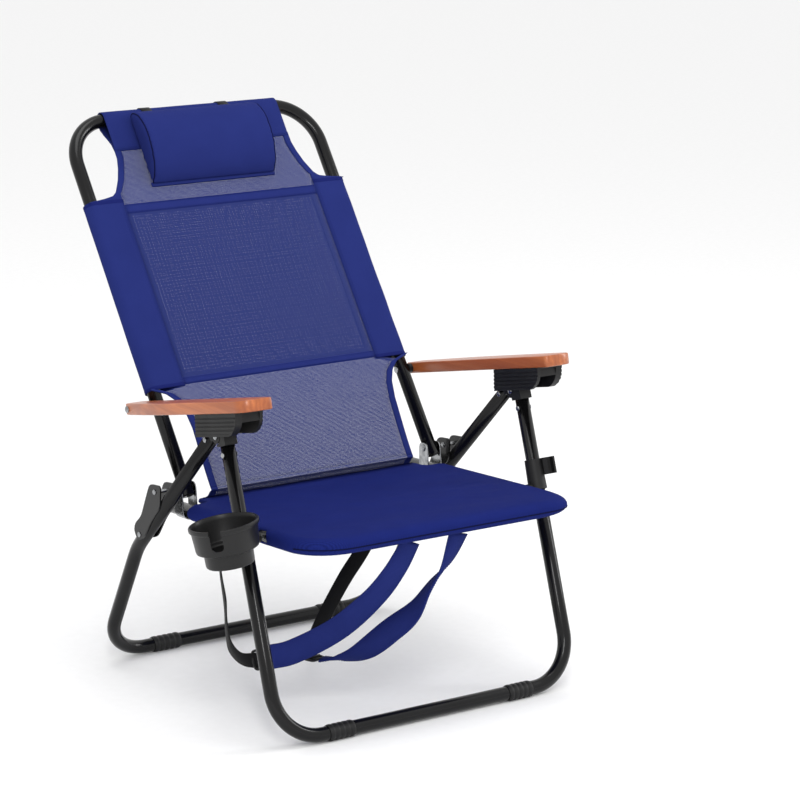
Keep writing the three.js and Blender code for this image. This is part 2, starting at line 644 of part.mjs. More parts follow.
function rackTeeth(x0, x1) {
  const ceiling = HOUSING_TOP - 2;
  const tip = HOUSING_TOP - 5.5;
  const teeth = [];
  for (let i = 0; i < TOOTH_COUNT; i += 1) {
    const y = TOOTH_START - i * TOOTH_PITCH;
    const tooth = roundedShape([
      [y, ceiling, 0], [y - 11, ceiling, 0], [y - 9, tip, 1], [y - 4, tip, 1],
    ].reverse());
    teeth.push(sweepX(tooth, x0, x1));
  }
  return teeth;
}

function addHousing() {
  const [front, rear] = HOUSING_Y;
  const bottom = HOUSING_TOP - HOUSING_DEPTH;
  const side = roundedShape([
    [rear - 2, HOUSING_TOP + 1, 0], [front, HOUSING_TOP + 1, 0], [front + 4, HOUSING_TOP - 20, 8],
    [front + 22, bottom - 1, 14], [rear + 4, bottom - 1, 3],
  ]);
  const silhouette = sweepX(side, WALL_OUT[0] - 1, WALL_OUT[1] + 1);
  const shell = common(sweepY(housingSection(), front - 1, rear + 6), silhouette);
  const frontWall = box(
    [CHANNEL[0] - 1, CHANNEL[1] + 1], [front + 3, front + 6], [HOUSING_TOP - 15, HOUSING_TOP - 1]);
  const racks = [
    ...rackTeeth(CHANNEL[0] - 1, CHANNEL[0] + 2.2),
    ...rackTeeth(CHANNEL[1] - 2.2, CHANNEL[1] + 1),
  ];
  const body = joined(shell, common(frontWall, silhouette), ...racks);
  addPair(armFrame, 'rack_housing', body, 'blackPlastic');
}

// ---------- cup holder, on the sitter's right leg ----------
const CUP_RIM = [-327, -19, 345.4];
const CUP_AXIS = Point(-0.128, 0.105, 0.986).normalize();
const CUP_R = 50;
const CUP_LIP_R = 53;
const CUP_WALL = 3;
const CUP_UPPER = 42;
const CUP_DEPTH = 65;
const CUP_LOWER_R = 36.5;
const CUP_SLOT_ANGLE = THREE.MathUtils.degToRad(223);
const CUP_SLOT_HALF = 9.5;

function cupBody() {
  const points = [
    [0, -CUP_DEPTH], [CUP_LOWER_R - 3, -CUP_DEPTH], [CUP_LOWER_R, -CUP_DEPTH + 3],
    [CUP_LOWER_R, -CUP_UPPER - 3], [CUP_R - 6, -CUP_UPPER], [CUP_R - 2.5, -CUP_UPPER + 4], [CUP_R, -8],
    [CUP_LIP_R - 1, -7], [CUP_LIP_R, -4], [CUP_LIP_R - 1, -0.6], [CUP_R, 0],
    [CUP_R - CUP_WALL, -5], [CUP_R - CUP_WALL - 2.5, -CUP_UPPER + 4],
    [CUP_LOWER_R - CUP_WALL, -CUP_UPPER + 1], [CUP_LOWER_R - CUP_WALL, -CUP_DEPTH + 3], [0, -CUP_DEPTH + 3],
  ].map(([r, h]) => new THREE.Vector2(r, h));
  const shell = new THREE.LatheGeometry(points, 24).rotateX(Math.PI / 2);
  const slot = box([CUP_LOWER_R + 2, CUP_LIP_R + 2], [-CUP_SLOT_HALF, CUP_SLOT_HALF], [-32, 2])
    .rotateZ(CUP_SLOT_ANGLE);
  return cutFrom(shell, slot);
}

const cupFrame = new THREE.Group();
cupFrame.name = 'cup_frame';
cupFrame.position.set(...CUP_RIM);
cupFrame.quaternion.setFromUnitVectors(Point(0, 0, 1), CUP_AXIS);
root.add(cupFrame);

// the clamp ring grips the leg just above the cup's step and its arm meets the cup wall
const CLAMP_W = 330;
const CLAMP_HALF = 11;
const CLAMP_R = 15.5;

function addCupHolder() {
  add(cupFrame, 'cup_holder', cupBody(), 'blackPlastic');
  const { toLocal } = frontLeg.userData;
  const centre = [-LEG_X, CLAMP_W, 0];
  const ring = rodY(CLAMP_R, CLAMP_R, 2 * CLAMP_HALF, LATHE_SIDES).translate(...centre);
  const bore = rodY(SLEEVE_IN, SLEEVE_IN, 4 * CLAMP_HALF, TUBE_SIDES).translate(...centre);
  const rim = Point(...CUP_RIM).addScaledVector(CUP_AXIS, -CUP_UPPER / 2);
  const [armY, armZ] = toLocal([rim.y, rim.z]);
  const reach = Point(rim.x, armY, armZ).sub(Point(...centre));
  reach.y = 0;
  const heading = Math.atan2(reach.z, reach.x);
  const arm = box([8, reach.length() - 12], [-CLAMP_HALF + 2, CLAMP_HALF - 2], [-9, 9])
    .rotateY(-heading).translate(...centre);
  const cupRoom = cupHull().applyMatrix4(localTo(frontLeg));
  const body = cutFrom(joined(ring, arm), bore, cupRoom);
  add(frontLeg, 'cup_clamp', body, 'blackPlastic');
}

// the cup's outside, a hair larger, used to trim what touches it
function cupHull() {
  const points = [
    [0, -CUP_DEPTH - GAP], [CUP_LOWER_R + GAP, -CUP_DEPTH - GAP], [CUP_LOWER_R + GAP, -CUP_UPPER - 3],
    [CUP_R - 6 + GAP, -CUP_UPPER - GAP], [CUP_R - 2.5 + GAP, -CUP_UPPER + 4 - GAP], [CUP_R + GAP, -8 - GAP],
    [CUP_LIP_R + GAP, -7 - GAP], [CUP_LIP_R + GAP, 2], [0, 2],
  ].map(([r, h]) => new THREE.Vector2(r, h));
  cupFrame.updateMatrix();
  return new THREE.LatheGeometry(points, 24).rotateX(Math.PI / 2).applyMatrix4(cupFrame.matrix);
}

function localTo(group) {
  group.updateMatrix();
  return group.matrix.clone().invert();
}

// ---------- leg clip, on the sitter's left leg ----------
const CLIP_W = [303, 351];
const CLIP_R = 15;
const CLIP_HOOK = [19, 11];
const CLIP_HOOK_R = [9.5, 12.5];
const CLIP_MOUTH_DEG = [45, 125];
const CLIP_JAW = 27;

function addLegClip() {
  const middle = (CLIP_W[0] + CLIP_W[1]) / 2;
  const length = CLIP_W[1] - CLIP_W[0];
  const ring = rodY(CLIP_R - 1.5, CLIP_R, length, LATHE_SIDES).translate(LEG_X, middle, 0);
  const bore = rodY(SLEEVE_IN, SLEEVE_IN, length + 4, TUBE_SIDES).translate(LEG_X, middle, 0);
  const [mouthEnd, mouthStart] = CLIP_MOUTH_DEG.map(THREE.MathUtils.degToRad);
  const hook = new THREE.Shape();
  hook.absarc(LEG_X + CLIP_HOOK[0], CLIP_HOOK[1], CLIP_HOOK_R[1], mouthStart, mouthEnd + 2 * Math.PI, false);
  hook.absarc(LEG_X + CLIP_HOOK[0], CLIP_HOOK[1], CLIP_HOOK_R[0], mouthEnd + 2 * Math.PI, mouthStart, true);
  hook.closePath();
  const jaw = sweepY(hook, CLIP_W[1] - CLIP_JAW, CLIP_W[1]);
  const pivot = frontLeg.userData.toLocal(SEAT_PIVOT);
  const spacerRoom = rodX(SPACER_R + GAP, LEG_IN - CLIP_R, LEG_X, pivot);
  const headRoom = rodX(PIN_HEAD_R + GAP, LEG_X, LEG_OUT + CLIP_R, pivot);
  add(frontLeg, 'leg_clip', cutFrom(joined(ring, jaw), bore, spacerRoom, headRoom), 'blackPlastic');
}

// ---------- carrying straps under the seat ----------
const SHOULDER_T = 5;
const SHOULDER_HALF = 19;
const WEBBING_T = 1.5;
const WEBBING_HALF = 12;
const BUCKLE_T = 5;
const BUCKLE_HALF = 14;
const BUCKLE_LENGTH = 20;

// each strap hangs from the seat's front edge, [x, y, z], and its webbing climbs back to the seat
const STRAP_RIGHT = [
  [-46, -96, 289], [-66, -82, 243], [-88, -56, 197], [-120, -8, 143], [-158, 54, 98], [-182, 84, 85],
];
const WEBBING_RIGHT = [
  [-188, 88, 83], [-202, 100, 79], [-217, 114, 82], [-223, 134, 97],
  [-212, 162, 118], [-197, 190, 150], [-196, 205, 200], [-200, 206, 280],
];
const STRAP_LEFT = [
  [42, -96, 289], [29, -84, 241], [13, -64, 202], [2, -38, 158],
  [-20, -8, 124], [-44, 32, 84], [-63, 62, 68], [-84, 88, 63],
];
const WEBBING_LEFT = [
  [-87, 94, 62], [-91, 110, 61], [-83, 121, 74], [-68, 124, 98],
  [-45, 128, 130], [-12, 130, 174], [24, 132, 216], [72, 136, 288],
];
// how far each strip is turned about its own path at its two ends, degrees
const STRAP_TURN = { right: [0, 90], left: [0, -180] };
const WEBBING_TURN = { right: [90, 55], left: [0, -35] };

// a flat strip through the points, its width as near to X as its direction lets it, then turned
function ribbon(points, half, thickness, steps, turn) {
  const curve = new THREE.CatmullRomCurve3(points.map((p) => Point(...p)), false, 'centripetal');
  const corners = [];
  for (let i = 0; i <= steps; i += 1) {
    const at = curve.getPointAt(i / steps);
    const along = curve.getTangentAt(i / steps);
    const angle = THREE.MathUtils.degToRad(THREE.MathUtils.lerp(...turn, i / steps));
    const level = Point(1, 0, 0).addScaledVector(along, -along.x).normalize();
    const across = level.applyAxisAngle(along, angle).multiplyScalar(half);
    const face = across.clone().cross(along).setLength(thickness / 2);
    [[-1, -1], [1, -1], [1, 1], [-1, 1]].forEach(([a, f]) => {
      corners.push(at.clone().addScaledVector(across, a).addScaledVector(face, f));
    });
  }
  const faces = [0, 2, 1, 0, 3, 2];
  for (let i = 0; i < steps; i += 1) {
    for (let k = 0; k < 4; k += 1) {
      const [a, b] = [4 * i + k, 4 * i + (k + 1) % 4];
      faces.push(a, b, b + 4, a, b + 4, a + 4);
    }
  }
  const end = 4 * steps;
  faces.push(end, end + 1, end + 2, end, end + 2, end + 3);
  const geometry = new THREE.BufferGeometry().setFromPoints(corners);
  geometry.setIndex(faces);
  return outward(geometry);
}

function outward(geometry) {
  if (new wasm.Manifold(meshOf(geometry)).volume() > 0) return geometry;
  geometry.setIndex([...geometry.index.array].reverse());
  return geometry;
}

// the buckle lies on the webbing's first stretch
function buckle(points, angle) {
  const start = Point(...points[0]);
  const along = Point(...points[1]).sub(start).setLength(BUCKLE_LENGTH);
  return ribbon([start.toArray(), start.add(along).toArray()], BUCKLE_HALF, BUCKLE_T, 1, [angle, angle]);
}

function addStrap(side, pad, webbing) {
  const cushion = ribbon(pad, SHOULDER_HALF, SHOULDER_T, 16, STRAP_TURN[side]);
  add(world, `shoulder_strap_${side}`, cushion, 'blueCloth');
  const turn = WEBBING_TURN[side];
  const tail = joined(ribbon(webbing, WEBBING_HALF, WEBBING_T, 20, turn), buckle(webbing, turn[0]));
  add(world, `strap_webbing_${side}`, tail, 'blackCloth');
}

addFrontLeg();
addFeet();
addHub();
addRearLeg();
addRearCap();
addLinks();
addSeatFrame();
addBracket();
addSeatCloth();
addBackFrame();
addBackCloth();
addPocket();
addPillow();
addPillowStraps();
addArmrest();
addHousing();
addCupHolder();
addLegClip();
addStrap('right', STRAP_RIGHT, WEBBING_RIGHT);
addStrap('left', STRAP_LEFT, WEBBING_LEFT);

// ---------- stand the chair on z = 0, centred ----------
root.updateMatrixWorld(true);
const bounds = new THREE.Box3().setFromObject(root, true);
const centre = bounds.getCenter(Point());
root.position.set(-centre.x, -centre.y, -bounds.min.z);

export default root;
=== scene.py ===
"""Beach chair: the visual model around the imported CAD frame. at() turns millimetres to metres."""
import json
import math

import bpy
import numpy as np
from mathutils import Matrix, Vector, noise
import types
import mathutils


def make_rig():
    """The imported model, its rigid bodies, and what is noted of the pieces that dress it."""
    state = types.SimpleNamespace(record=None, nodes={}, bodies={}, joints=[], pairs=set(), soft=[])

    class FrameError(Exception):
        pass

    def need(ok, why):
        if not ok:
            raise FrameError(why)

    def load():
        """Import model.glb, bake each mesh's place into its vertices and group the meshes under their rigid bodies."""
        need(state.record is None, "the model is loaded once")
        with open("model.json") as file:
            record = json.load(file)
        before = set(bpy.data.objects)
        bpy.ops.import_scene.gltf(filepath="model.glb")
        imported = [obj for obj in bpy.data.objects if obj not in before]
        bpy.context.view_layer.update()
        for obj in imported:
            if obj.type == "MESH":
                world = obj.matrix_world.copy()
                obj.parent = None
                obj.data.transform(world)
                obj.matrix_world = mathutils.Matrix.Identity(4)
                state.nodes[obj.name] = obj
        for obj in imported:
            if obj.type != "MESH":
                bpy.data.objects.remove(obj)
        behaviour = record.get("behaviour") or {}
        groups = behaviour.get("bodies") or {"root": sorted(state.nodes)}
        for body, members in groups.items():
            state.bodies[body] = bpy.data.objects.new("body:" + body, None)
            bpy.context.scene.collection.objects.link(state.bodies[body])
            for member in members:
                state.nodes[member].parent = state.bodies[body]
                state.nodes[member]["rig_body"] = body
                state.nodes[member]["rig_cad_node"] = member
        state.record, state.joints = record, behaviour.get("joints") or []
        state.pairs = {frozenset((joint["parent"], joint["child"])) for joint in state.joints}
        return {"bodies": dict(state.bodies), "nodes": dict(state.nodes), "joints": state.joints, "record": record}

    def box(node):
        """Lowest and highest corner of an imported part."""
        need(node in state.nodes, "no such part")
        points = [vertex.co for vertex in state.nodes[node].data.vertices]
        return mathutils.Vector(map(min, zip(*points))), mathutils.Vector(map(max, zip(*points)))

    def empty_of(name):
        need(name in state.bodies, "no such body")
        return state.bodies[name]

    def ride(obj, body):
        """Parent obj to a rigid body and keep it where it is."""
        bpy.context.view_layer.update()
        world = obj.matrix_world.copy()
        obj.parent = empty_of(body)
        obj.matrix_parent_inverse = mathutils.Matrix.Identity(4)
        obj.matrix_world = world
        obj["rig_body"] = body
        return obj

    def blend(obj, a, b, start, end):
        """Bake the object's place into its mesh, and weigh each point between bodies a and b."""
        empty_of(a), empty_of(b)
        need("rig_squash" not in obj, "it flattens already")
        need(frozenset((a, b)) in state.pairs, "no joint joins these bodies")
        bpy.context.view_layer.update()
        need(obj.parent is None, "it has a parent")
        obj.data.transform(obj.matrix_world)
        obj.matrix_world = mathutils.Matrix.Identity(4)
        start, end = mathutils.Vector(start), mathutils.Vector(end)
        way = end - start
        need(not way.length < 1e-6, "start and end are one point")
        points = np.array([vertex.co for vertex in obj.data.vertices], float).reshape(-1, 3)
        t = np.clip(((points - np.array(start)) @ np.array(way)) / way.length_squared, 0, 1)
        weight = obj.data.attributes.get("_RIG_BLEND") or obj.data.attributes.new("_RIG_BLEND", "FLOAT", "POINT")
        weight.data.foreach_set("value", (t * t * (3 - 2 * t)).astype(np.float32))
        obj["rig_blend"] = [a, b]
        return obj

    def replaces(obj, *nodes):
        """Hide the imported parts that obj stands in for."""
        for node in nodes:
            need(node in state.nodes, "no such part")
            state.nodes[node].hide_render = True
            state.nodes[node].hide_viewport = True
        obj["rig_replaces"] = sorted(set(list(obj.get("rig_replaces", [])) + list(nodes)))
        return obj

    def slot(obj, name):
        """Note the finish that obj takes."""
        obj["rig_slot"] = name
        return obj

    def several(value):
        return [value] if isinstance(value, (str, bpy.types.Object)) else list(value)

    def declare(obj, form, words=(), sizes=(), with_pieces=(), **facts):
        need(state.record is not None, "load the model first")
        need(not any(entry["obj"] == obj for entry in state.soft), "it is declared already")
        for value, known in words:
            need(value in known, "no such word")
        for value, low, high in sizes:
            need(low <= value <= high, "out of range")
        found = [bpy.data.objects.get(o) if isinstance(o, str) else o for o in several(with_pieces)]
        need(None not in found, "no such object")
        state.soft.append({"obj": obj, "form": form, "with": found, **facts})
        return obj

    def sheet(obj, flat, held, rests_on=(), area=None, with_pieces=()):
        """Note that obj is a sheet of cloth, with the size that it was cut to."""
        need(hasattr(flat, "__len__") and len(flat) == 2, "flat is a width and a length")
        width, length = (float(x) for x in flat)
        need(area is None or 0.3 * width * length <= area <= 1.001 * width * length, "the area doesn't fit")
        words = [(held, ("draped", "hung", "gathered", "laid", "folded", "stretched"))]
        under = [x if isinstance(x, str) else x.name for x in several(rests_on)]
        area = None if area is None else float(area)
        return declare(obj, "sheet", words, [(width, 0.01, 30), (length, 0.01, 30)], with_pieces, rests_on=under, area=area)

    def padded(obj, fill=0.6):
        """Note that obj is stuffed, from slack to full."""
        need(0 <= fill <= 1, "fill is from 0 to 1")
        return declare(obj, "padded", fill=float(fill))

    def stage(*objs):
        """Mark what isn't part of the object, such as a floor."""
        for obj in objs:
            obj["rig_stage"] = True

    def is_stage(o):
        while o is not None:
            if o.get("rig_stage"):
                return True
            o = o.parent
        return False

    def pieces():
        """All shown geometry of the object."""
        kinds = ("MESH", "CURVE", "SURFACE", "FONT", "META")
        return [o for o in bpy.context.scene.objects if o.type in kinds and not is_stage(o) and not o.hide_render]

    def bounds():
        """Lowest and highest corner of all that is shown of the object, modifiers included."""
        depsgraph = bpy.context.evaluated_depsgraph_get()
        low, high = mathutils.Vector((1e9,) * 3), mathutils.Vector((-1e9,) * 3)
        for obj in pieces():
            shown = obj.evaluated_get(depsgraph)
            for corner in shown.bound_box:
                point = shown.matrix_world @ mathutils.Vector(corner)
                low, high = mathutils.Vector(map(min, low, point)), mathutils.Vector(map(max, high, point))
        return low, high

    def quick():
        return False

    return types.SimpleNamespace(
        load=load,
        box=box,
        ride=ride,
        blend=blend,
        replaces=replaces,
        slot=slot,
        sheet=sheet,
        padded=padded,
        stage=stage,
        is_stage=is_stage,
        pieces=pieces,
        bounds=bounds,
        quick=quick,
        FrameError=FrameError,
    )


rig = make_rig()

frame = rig.load()
CAD_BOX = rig.bounds()

# ---------- driving dimensions, mm, in the chair's own frame: +X sitter's left, -Y forward ----------
TUBE_R = 11.0
SLEEVE_R = 13.2
LEG_X = 273.0
RAIL_X = 232.0
HUB_PIVOT = (71.5, 449.5)
FRONT_BAR = (-85.2, 12.5)
FRONT_TOP = (50.4, 424.9)
REAR_TUBE_TOP = (92.5, 446.9)
REAR_KNEE = (326.5, 217.1)
REAR_BAR = (437.2, 12.5)
BACK_PIVOT = (247.5, 325.7)
BACK_TOP = (613.4, 847.5)
SEAT_FRONT = (-118.0, 310.0)
SEAT_REAR = (302.0, 286.5)
LEG_BEND = 75.0
KNEE_BEND = 120.0
BACK_BEND = 75.0
SEAT_BEND = 60.0
BACK_FOOT_S = -14.0
HUB_GAP = 13.4
ARM_TILT = math.radians(12)

FRONT_FOOT_X = (144.0, 189.0)
REAR_FOOT_X = (136.0, 185.0)
FOOT_BORE = 11.3
FOOT_RIDGES = 5
FOOT_VALLEY = 12.0
FOOT_CREST = 12.9

CUP_RIM = (-327.0, -19.0, 345.4)
CUP_AXIS = Vector((-0.128, 0.105, 0.986)).normalized()
CUP_SLOT_ANGLE = math.radians(223)

# back cloth, x across and s up the back from the hinge
SEAM_X = 181.0
SIDE_SLEEVE = (162.0, 490.0)
BANDS = ((164.0, 175.0), (464.0, 480.0))
HEM_S = 575.0
TOP_SLEEVE_X = 165.0
CLOTH_FOOT_S = -9.0
LOW_EDGE = ((-9, 191), (90, 192), (118, 196), (138, 205), (152, 219), (162, 245))
HIGH_EDGE = ((490, 243), (493, 215), (497, 196), (504, 188), (525, 177), (545, 170), (562, 166), (637, 165))
BINDING = 11.0
FACE_N = 12.4

PILLOW_X = 117.0
PILLOW_SHIFT = -5.0
PILLOW_VOXEL = 0.005
PILLOW_STRAP_X = (-84.0, 62.0)

STRAP_RIGHT = ((-46, -96, 289), (-66, -82, 243), (-88, -56, 197), (-120, -8, 143), (-158, 54, 98),
               (-182, 84, 85))
WEBBING_RIGHT = ((-188, 88, 83), (-202, 100, 79), (-217, 114, 82), (-223, 134, 97), (-212, 162, 118),
                 (-197, 190, 150), (-196, 205, 200), (-200, 206, 280))
STRAP_LEFT = ((42, -96, 289), (29, -84, 241), (13, -64, 202), (2, -38, 158), (-20, -8, 124), (-44, 32, 84),
              (-63, 62, 68), (-84, 88, 63))
WEBBING_LEFT = ((-87, 94, 62), (-91, 110, 61), (-83, 121, 74), (-68, 124, 98), (-45, 128, 130),
                (-12, 130, 174), (24, 132, 216), (72, 136, 288))
# how far each strip is turned about its own path at its two ends, degrees
STRAP_TURN = {"right": (0, 90), "left": (0, -180)}
WEBBING_TURN = {"right": (90, 55), "left": (0, -35)}


# ---------- frames ----------
def chair_offset():
    """Where the chair's own origin lies in the row frame, read from the leg pivot's two rivets."""
    left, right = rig.box("hub_pivot_rivet_left"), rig.box("hub_pivot_rivet_right")
    centre = (left[0] + left[1] + right[0] + right[1]) / 4
    return centre - Vector((0, *HUB_PIVOT)) / 1000


OFFSET = chair_offset()


def at(x, y, z):
    """A point of the chair's own frame, mm, in the row frame, metres."""
    return Vector((x, y, z)) / 1000 + OFFSET


class Side:
    """A side-view frame: x across the chair, `along` a direction in the side view, `out` square to both."""

    def __init__(self, origin, direction):
        self.origin = Vector((0, *origin))
        self.along = Vector((0, *direction)).normalized()
        self.out = Vector((1, 0, 0)).cross(self.along)

    def at(self, x, along, out=0.0):
        point = self.origin + self.along * along + self.out * out
        return at(x, point.y, point.z)


def towards(a, b):
    """The direction from a to b in the side view."""
    return (b[0] - a[0], b[1] - a[1])


FRONT_LEG = Side(FRONT_BAR, towards(FRONT_BAR, FRONT_TOP))
SEAT = Side(SEAT_FRONT, towards(SEAT_FRONT, SEAT_REAR))
BACK = Side(BACK_PIVOT, towards(BACK_PIVOT, BACK_TOP))
FRONT_LENGTH = math.dist(FRONT_BAR, FRONT_TOP) + HUB_GAP
SEAT_LENGTH = math.dist(SEAT_FRONT, SEAT_REAR)
BACK_LENGTH = math.dist(BACK_PIVOT, BACK_TOP)


# ---------- meshes ----------
def make(name, points, faces, material, uvs=None, smooth=True):
    """A mesh object from points in metres. `uvs` gives each point's place on its cloth, in metres."""
    mesh = bpy.data.meshes.new(name)
    mesh.from_pydata([tuple(p) for p in points], [], faces)
    mesh.polygons.foreach_set("use_smooth", [smooth] * len(mesh.polygons))
    if uvs is not None:
        layer = mesh.uv_layers.new(name="cloth")
        for loop in mesh.loops:
            layer.data[loop.index].uv = uvs[loop.vertex_index]
    mesh.validate()
    mesh.update()
    obj = bpy.data.objects.new(name, mesh)
    bpy.context.scene.collection.objects.link(obj)
    obj.data.materials.append(material)
    return obj


def grid_faces(rows, columns, wrap=False):
    """Quads of a grid stored row by row. With wrap, the last column joins the first."""
    faces = []
    for r in range(rows - 1):
        for c in range(columns if wrap else columns - 1):
            d = (c + 1) % columns
            faces.append((r * columns + c, r * columns + d, (r + 1) * columns + d, (r + 1) * columns + c))
    return faces


def lofted(name, rings, material, uvs=None):
    """A closed solid through rings of equal length, capped at both ends."""
    count = len(rings[0])
    faces = grid_faces(len(rings), count, wrap=True)
    faces.append(tuple(reversed(range(count))))
    last = (len(rings) - 1) * count
    faces.append(tuple(range(last, last + count)))
    return outward(make(name, [p for ring in rings for p in ring], faces, material, uvs))


def outward(obj):
    """Turns a closed mesh's faces outwards."""
    mesh = obj.data
    mesh.calc_loop_triangles()
    co = np.array([v.co for v in mesh.vertices])
    co = co - co.mean(0)
    tri = np.array([t.vertices for t in mesh.loop_triangles])
    volume = np.einsum("ij,ij->i", co[tri[:, 0]], np.cross(co[tri[:, 1]], co[tri[:, 2]])).sum()
    if volume < 0:
        mesh.flip_normals()
    return obj


def bent_path(corners, radii, step=4.0):
    """Corner points, mm, to a path whose corners are arcs, with a point every `step` degrees."""
    path = [corners[0]]
    for i in range(1, len(corners) - 1):
        corner, radius = corners[i], radii[i - 1]
        back = (corners[i - 1] - corner).normalized()
        ahead = (corners[i + 1] - corner).normalized()
        half = back.angle(ahead) / 2
        centre = corner + (back + ahead).normalized() * (radius / math.sin(half))
        first = corner + back * (radius / math.tan(half)) - centre
        turn = math.pi - 2 * half
        axis = ahead.cross(back).normalized()
        steps = max(3, round(math.degrees(turn) / step))
        path += [Matrix.Rotation(turn * k / steps, 3, axis) @ first + centre for k in range(steps + 1)]
    return path + [corners[-1]]


def carried_frames(points):
    """A right and an up vector at each point of a path, turned as little as possible along it."""
    count = len(points)
    ways = [(points[min(i + 1, count - 1)] - points[max(i - 1, 0)]).normalized() for i in range(count)]
    right = ways[0].orthogonal().normalized()
    frames = []
    for way in ways:
        right = (right - way * right.dot(way)).normalized()
        frames.append((right, way.cross(right)))
    return frames


def pipe(name, points, radius, material, sides=32):
    """A round bar of that radius in metres, along points in metres."""
    rings = []
    for point, (right, up) in zip(points, carried_frames(points)):
        turn = [2 * math.pi * k / sides for k in range(sides)]
        rings.append([point + (right * math.cos(a) + up * math.sin(a)) * radius for a in turn])
    return lofted(name, rings, material)


def lathed(name, profile, origin, axis, material, sides=96):
    """A closed ring about `axis` from a closed profile of (radius, height) in mm."""
    right = axis.orthogonal().normalized()
    up = axis.cross(right)
    rings = []
    for k in range(sides):
        a = 2 * math.pi * k / sides
        out = right * math.cos(a) + up * math.sin(a)
        rings.append([origin + (out * r + axis * h) / 1000 for r, h in profile])
    points = [p for ring in rings for p in ring]
    faces = grid_faces(sides + 1, len(profile), wrap=True)
    total = len(points)
    return outward(make(name, points, [tuple(i % total for i in f) for f in faces], material))


def smooth_path(points, count):
    """`count` points along a Catmull-Rom curve through the given ones, evenly spaced."""
    ends = [points[0] * 2 - points[1], *points, points[-1] * 2 - points[-2]]
    fine = []
    for a, b, c, d in zip(ends, ends[1:], ends[2:], ends[3:]):
        for k in range(24):
            t = k / 24
            fine.append(0.5 * (2 * b + (c - a) * t + (2 * a - 5 * b + 4 * c - d) * t * t
                               + (3 * b - a - 3 * c + d) * t ** 3))
    fine.append(points[-1])
    return spaced(fine, count)


def spaced(points, count):
    """`count` points evenly spaced along a polyline."""
    lengths = [0.0]
    for a, b in zip(points, points[1:]):
        lengths.append(lengths[-1] + (b - a).length)
    wanted = np.linspace(0, lengths[-1], count)
    columns = [np.interp(wanted, lengths, [p[k] for p in points]) for k in range(3)]
    return [Vector(p) for p in zip(*columns)]


def ribbon(name, points, acrosses, width, thickness, material, crown=0.0):
    """A flat strip along points in metres. `acrosses` gives its width direction at each point."""
    half, edge = width / 2, thickness / 2
    inset = half - edge
    section = [(-half, 0), (-inset, -edge), (0, -edge - crown), (inset, -edge), (half, 0), (inset, edge),
               (0, edge + crown), (-inset, edge)]
    rings, uvs, run = [], [], 0.0
    for i, (point, across) in enumerate(zip(points, acrosses)):
        way = points[min(i + 1, len(points) - 1)] - points[max(i - 1, 0)]
        face = across.cross(way).normalized()
        run += (point - points[max(i - 1, 0)]).length
        rings.append([point + across.normalized() * a + face * n for a, n in section])
        uvs += [(a, run) for a, _ in section]
    return lofted(name, rings, material, uvs)


def sheet(name, rows, uvs, material, thickness):
    """Cloth of that thickness in metres through rows of points."""
    points = [p for row in rows for p in row]
    obj = make(name, points, grid_faces(len(rows), len(rows[0])), material, [uv for row in uvs for uv in row])
    solid = obj.modifiers.new("thickness", "SOLIDIFY")
    solid.thickness = thickness
    solid.offset = 0
    return obj


def stitches(name, points, outs, material, pitch=0.0042, length=0.0030, width=0.00045):
    """A row of short threads lying on a surface along points, with the surface's outward direction."""
    total = sum((b - a).length for a, b in zip(points, points[1:]))
    count = max(2, int(total / pitch))
    line = spaced(points, count)
    faced = spaced(outs, count)
    corners, faces = [], []
    for i in range(count - 1):
        way = (line[i + 1] - line[i]).normalized()
        out = faced[i].normalized()
        side = way.cross(out).normalized()
        middle = (line[i] + line[i + 1]) / 2
        base = len(corners)
        corners += [middle - way * length / 2, middle + way * length / 2, middle + side * width,
                    middle - side * width, middle + out * width, middle - out * width]
        for a, b in ((2, 4), (4, 3), (3, 5), (5, 2)):
            faces += [(base, base + a, base + b), (base + 1, base + b, base + a)]
    return make(name, corners, faces, material, smooth=False)


